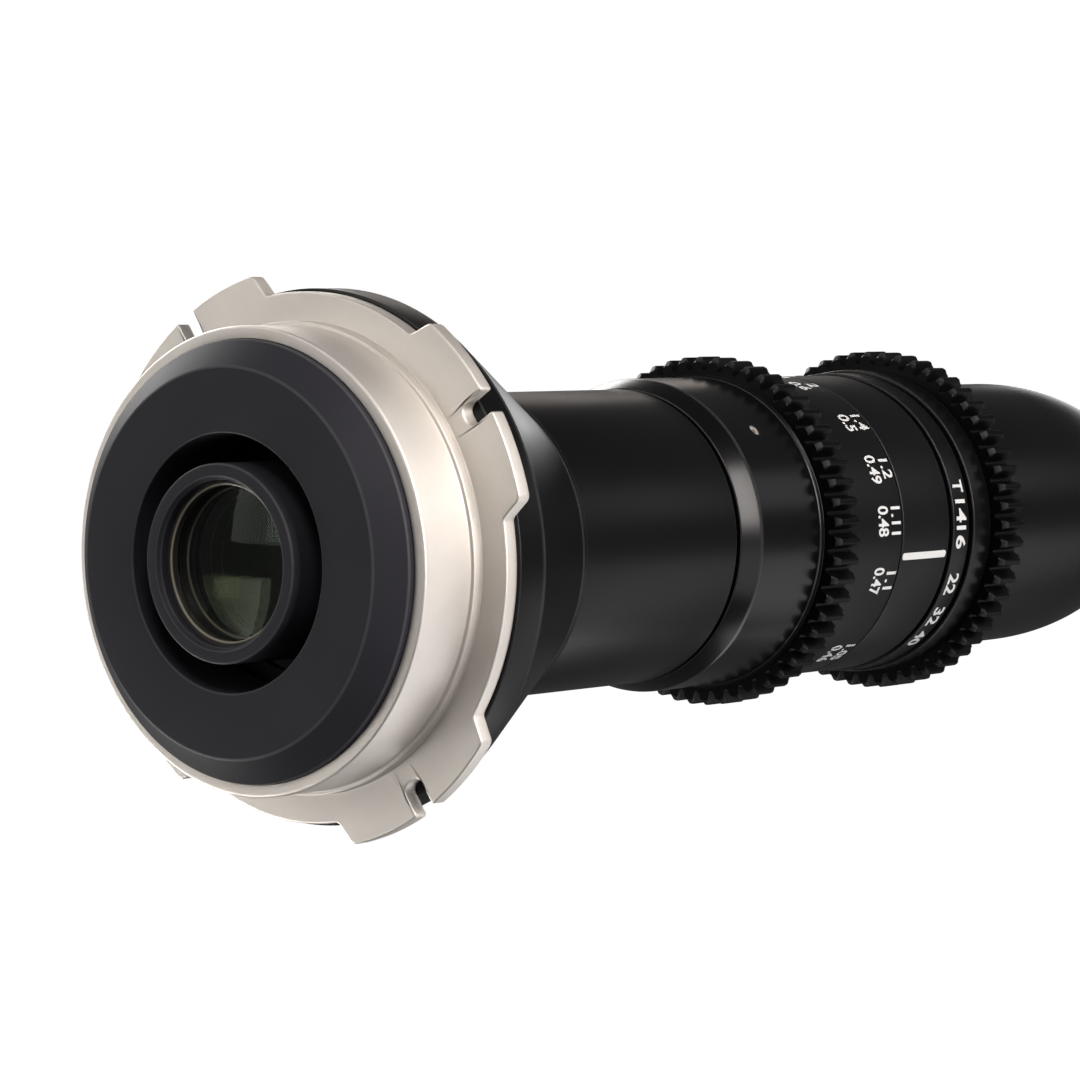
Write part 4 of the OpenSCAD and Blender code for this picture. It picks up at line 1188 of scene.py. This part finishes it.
@dataclass
class Studio:
    """The pale floor and backdrop, the soft lights and the camera, in metres."""

    camera_at: tuple[float, float, float] = (-0.34095, -0.31460, 0.02783)
    camera_ahead: tuple[float, float, float] = (0.77286, 0.63216, -0.05542)
    focal_mm: float = 133.333
    sensor_mm: float = 36.0
    clip: tuple[float, float] = (0.01, 50.0)
    floor_z: float = -0.30
    floor_r: float = 2.6
    bend_r: float = 1.4
    roof: float = 5.0
    paper: tuple[Colour, Colour] = ((0.90, 0.90, 0.895), (0.92, 0.92, 0.915))
    paper_glow: float = 0.9
    air_glow: float = 0.11
    lamps: tuple[Softbox, ...] = (
        Softbox("key softbox", (-0.50, -0.50, 0.64), (0.03, 0, 0), (0.36, 0.44), 6.5, (1.0, 0.97, 0.94)),
        Softbox("warm softbox", (0.72, 0.54, 0.42), (0.05, 0, 0), (0.30, 0.26), 1.0, (1.0, 0.90, 0.82)),
        Softbox("right softbox", (0.10, -0.95, 0.42), (0.06, 0, 0), (0.34, 0.66), 15.0, (1.0, 0.95, 0.92)),
        Softbox("cool softbox", (0.76, -0.54, 0.30), (0.05, 0, 0), (0.30, 0.26), 0.9, (0.94, 0.95, 1.0)),
        Softbox("low panel", (0.70, -0.54, -0.40), (0.05, 0, 0), (0.5, 0.54), 1.15, (0.96, 0.97, 1.0)),
        Softbox("under panel", (0.52, -0.34, -0.78), (0.05, 0, 0), (0.6, 0.4), 2.6, (0.98, 0.98, 1.0)),
        Softbox("low right panel", (0.10, -0.92, -0.36), (0.05, 0, 0), (0.5, 0.5), 1.6, (0.98, 0.98, 1.0)),
        Softbox("left panel", (-0.86, 0.40, 0.36), (0, 0, 0), (0.60, 0.64), 1.9, (1.0, 0.98, 0.95)),
        Softbox("low left lamp", (-0.26, 0.84, -0.56), (0, 0, 0), (0.50, 0.40), 9.5, (1.0, 0.98, 0.95)),
        Softbox("far side softbox", (0.34, 1.0, 0.50), (0.15, 0, 0), (1.2, 0.5), 6.5, (1.0, 0.98, 0.96)),
        Softbox("front fill", (1.75, 0.62, 0.12), (0.35, 0, 0), (0.6, 0.6), 2.5),
        Softbox("window", (-0.84, 0.30, 0.14), (0, 0, 0), (0.12, 0.14), 3.0))

    def set_backdrop(self) -> None:
        """A round floor that curves up into walls and a roof: a profile of distance and height, turned about Z.

        Only the camera sees it, so it neither lights the lens nor stands between it and the low lamps.
        """
        bend = np.linspace(0, np.pi / 2, 20)
        wall = self.floor_r + self.bend_r
        distance = np.concatenate([[0.0], self.floor_r + self.bend_r * np.sin(bend), [wall, 0.0]])[:, None]
        height = np.concatenate([[0.0], self.bend_r * (1 - np.cos(bend)), [self.roof, self.roof]])[:, None]
        turn = round_turn(96)
        points = np.stack(np.broadcast_arrays(
            distance * np.cos(turn), distance * np.sin(turn), height + self.floor_z), -1)
        made = open_sheet(points / MM).mesh("backdrop")
        made.flip_normals()
        board = Board("pale paper")
        made.materials.append(board.surface({
            "Base Color": board.mix(board.noise(3.0), *self.paper), "Roughness": 0.9,
            "Emission Color": (1.0, 1.0, 1.0), "Emission Strength": self.paper_glow}))
        piece = linked("backdrop", made)
        piece.visible_glossy = piece.visible_diffuse = piece.visible_transmission = piece.visible_shadow = False

    def set_air(self) -> None:
        """A faint even light from all round, and colours shown as they are."""
        world = bpy.data.worlds.new("studio air")
        world.use_nodes = True
        air = world.node_tree.nodes["Background"].inputs
        air["Color"].default_value, air["Strength"].default_value = (1.0, 1.0, 1.0, 1.0), self.air_glow
        bpy.context.scene.world = world
        bpy.context.scene.view_settings.view_transform = "Standard"

    def set_camera(self) -> None:
        """The camera at the photograph's place."""
        data = bpy.data.cameras.new("camera")
        data.lens, data.sensor_width, (data.clip_start, data.clip_end) = self.focal_mm, self.sensor_mm, self.clip
        camera = linked("camera", data)
        camera.location = self.camera_at
        camera.rotation_euler = facing(Vector(self.camera_ahead))
        bpy.context.scene.camera = camera

    def build(self) -> None:
        """Sets the backdrop, the lights, the surrounding light and the camera."""
        self.set_backdrop()
        for lamp in self.lamps:
            lamp.hang()
        self.set_air()
        self.set_camera()
        log.info("studio set: %d lamps", len(self.lamps))


def main() -> None:
    """Loads the frame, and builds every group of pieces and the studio."""
    logging.basicConfig(level=logging.INFO, format="%(name)s: %(message)s")
    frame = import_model()
    rack = Rack()
    InnerWorks(rack).dress(frame)
    for group in (CameraMount, RearGlass, Barrel, FocusRing, IndexRing, ApertureRing, FrontHousing, ProbeTip):
        group(rack).build()
    Studio().build()


if __name__ == "__main__":
    main()
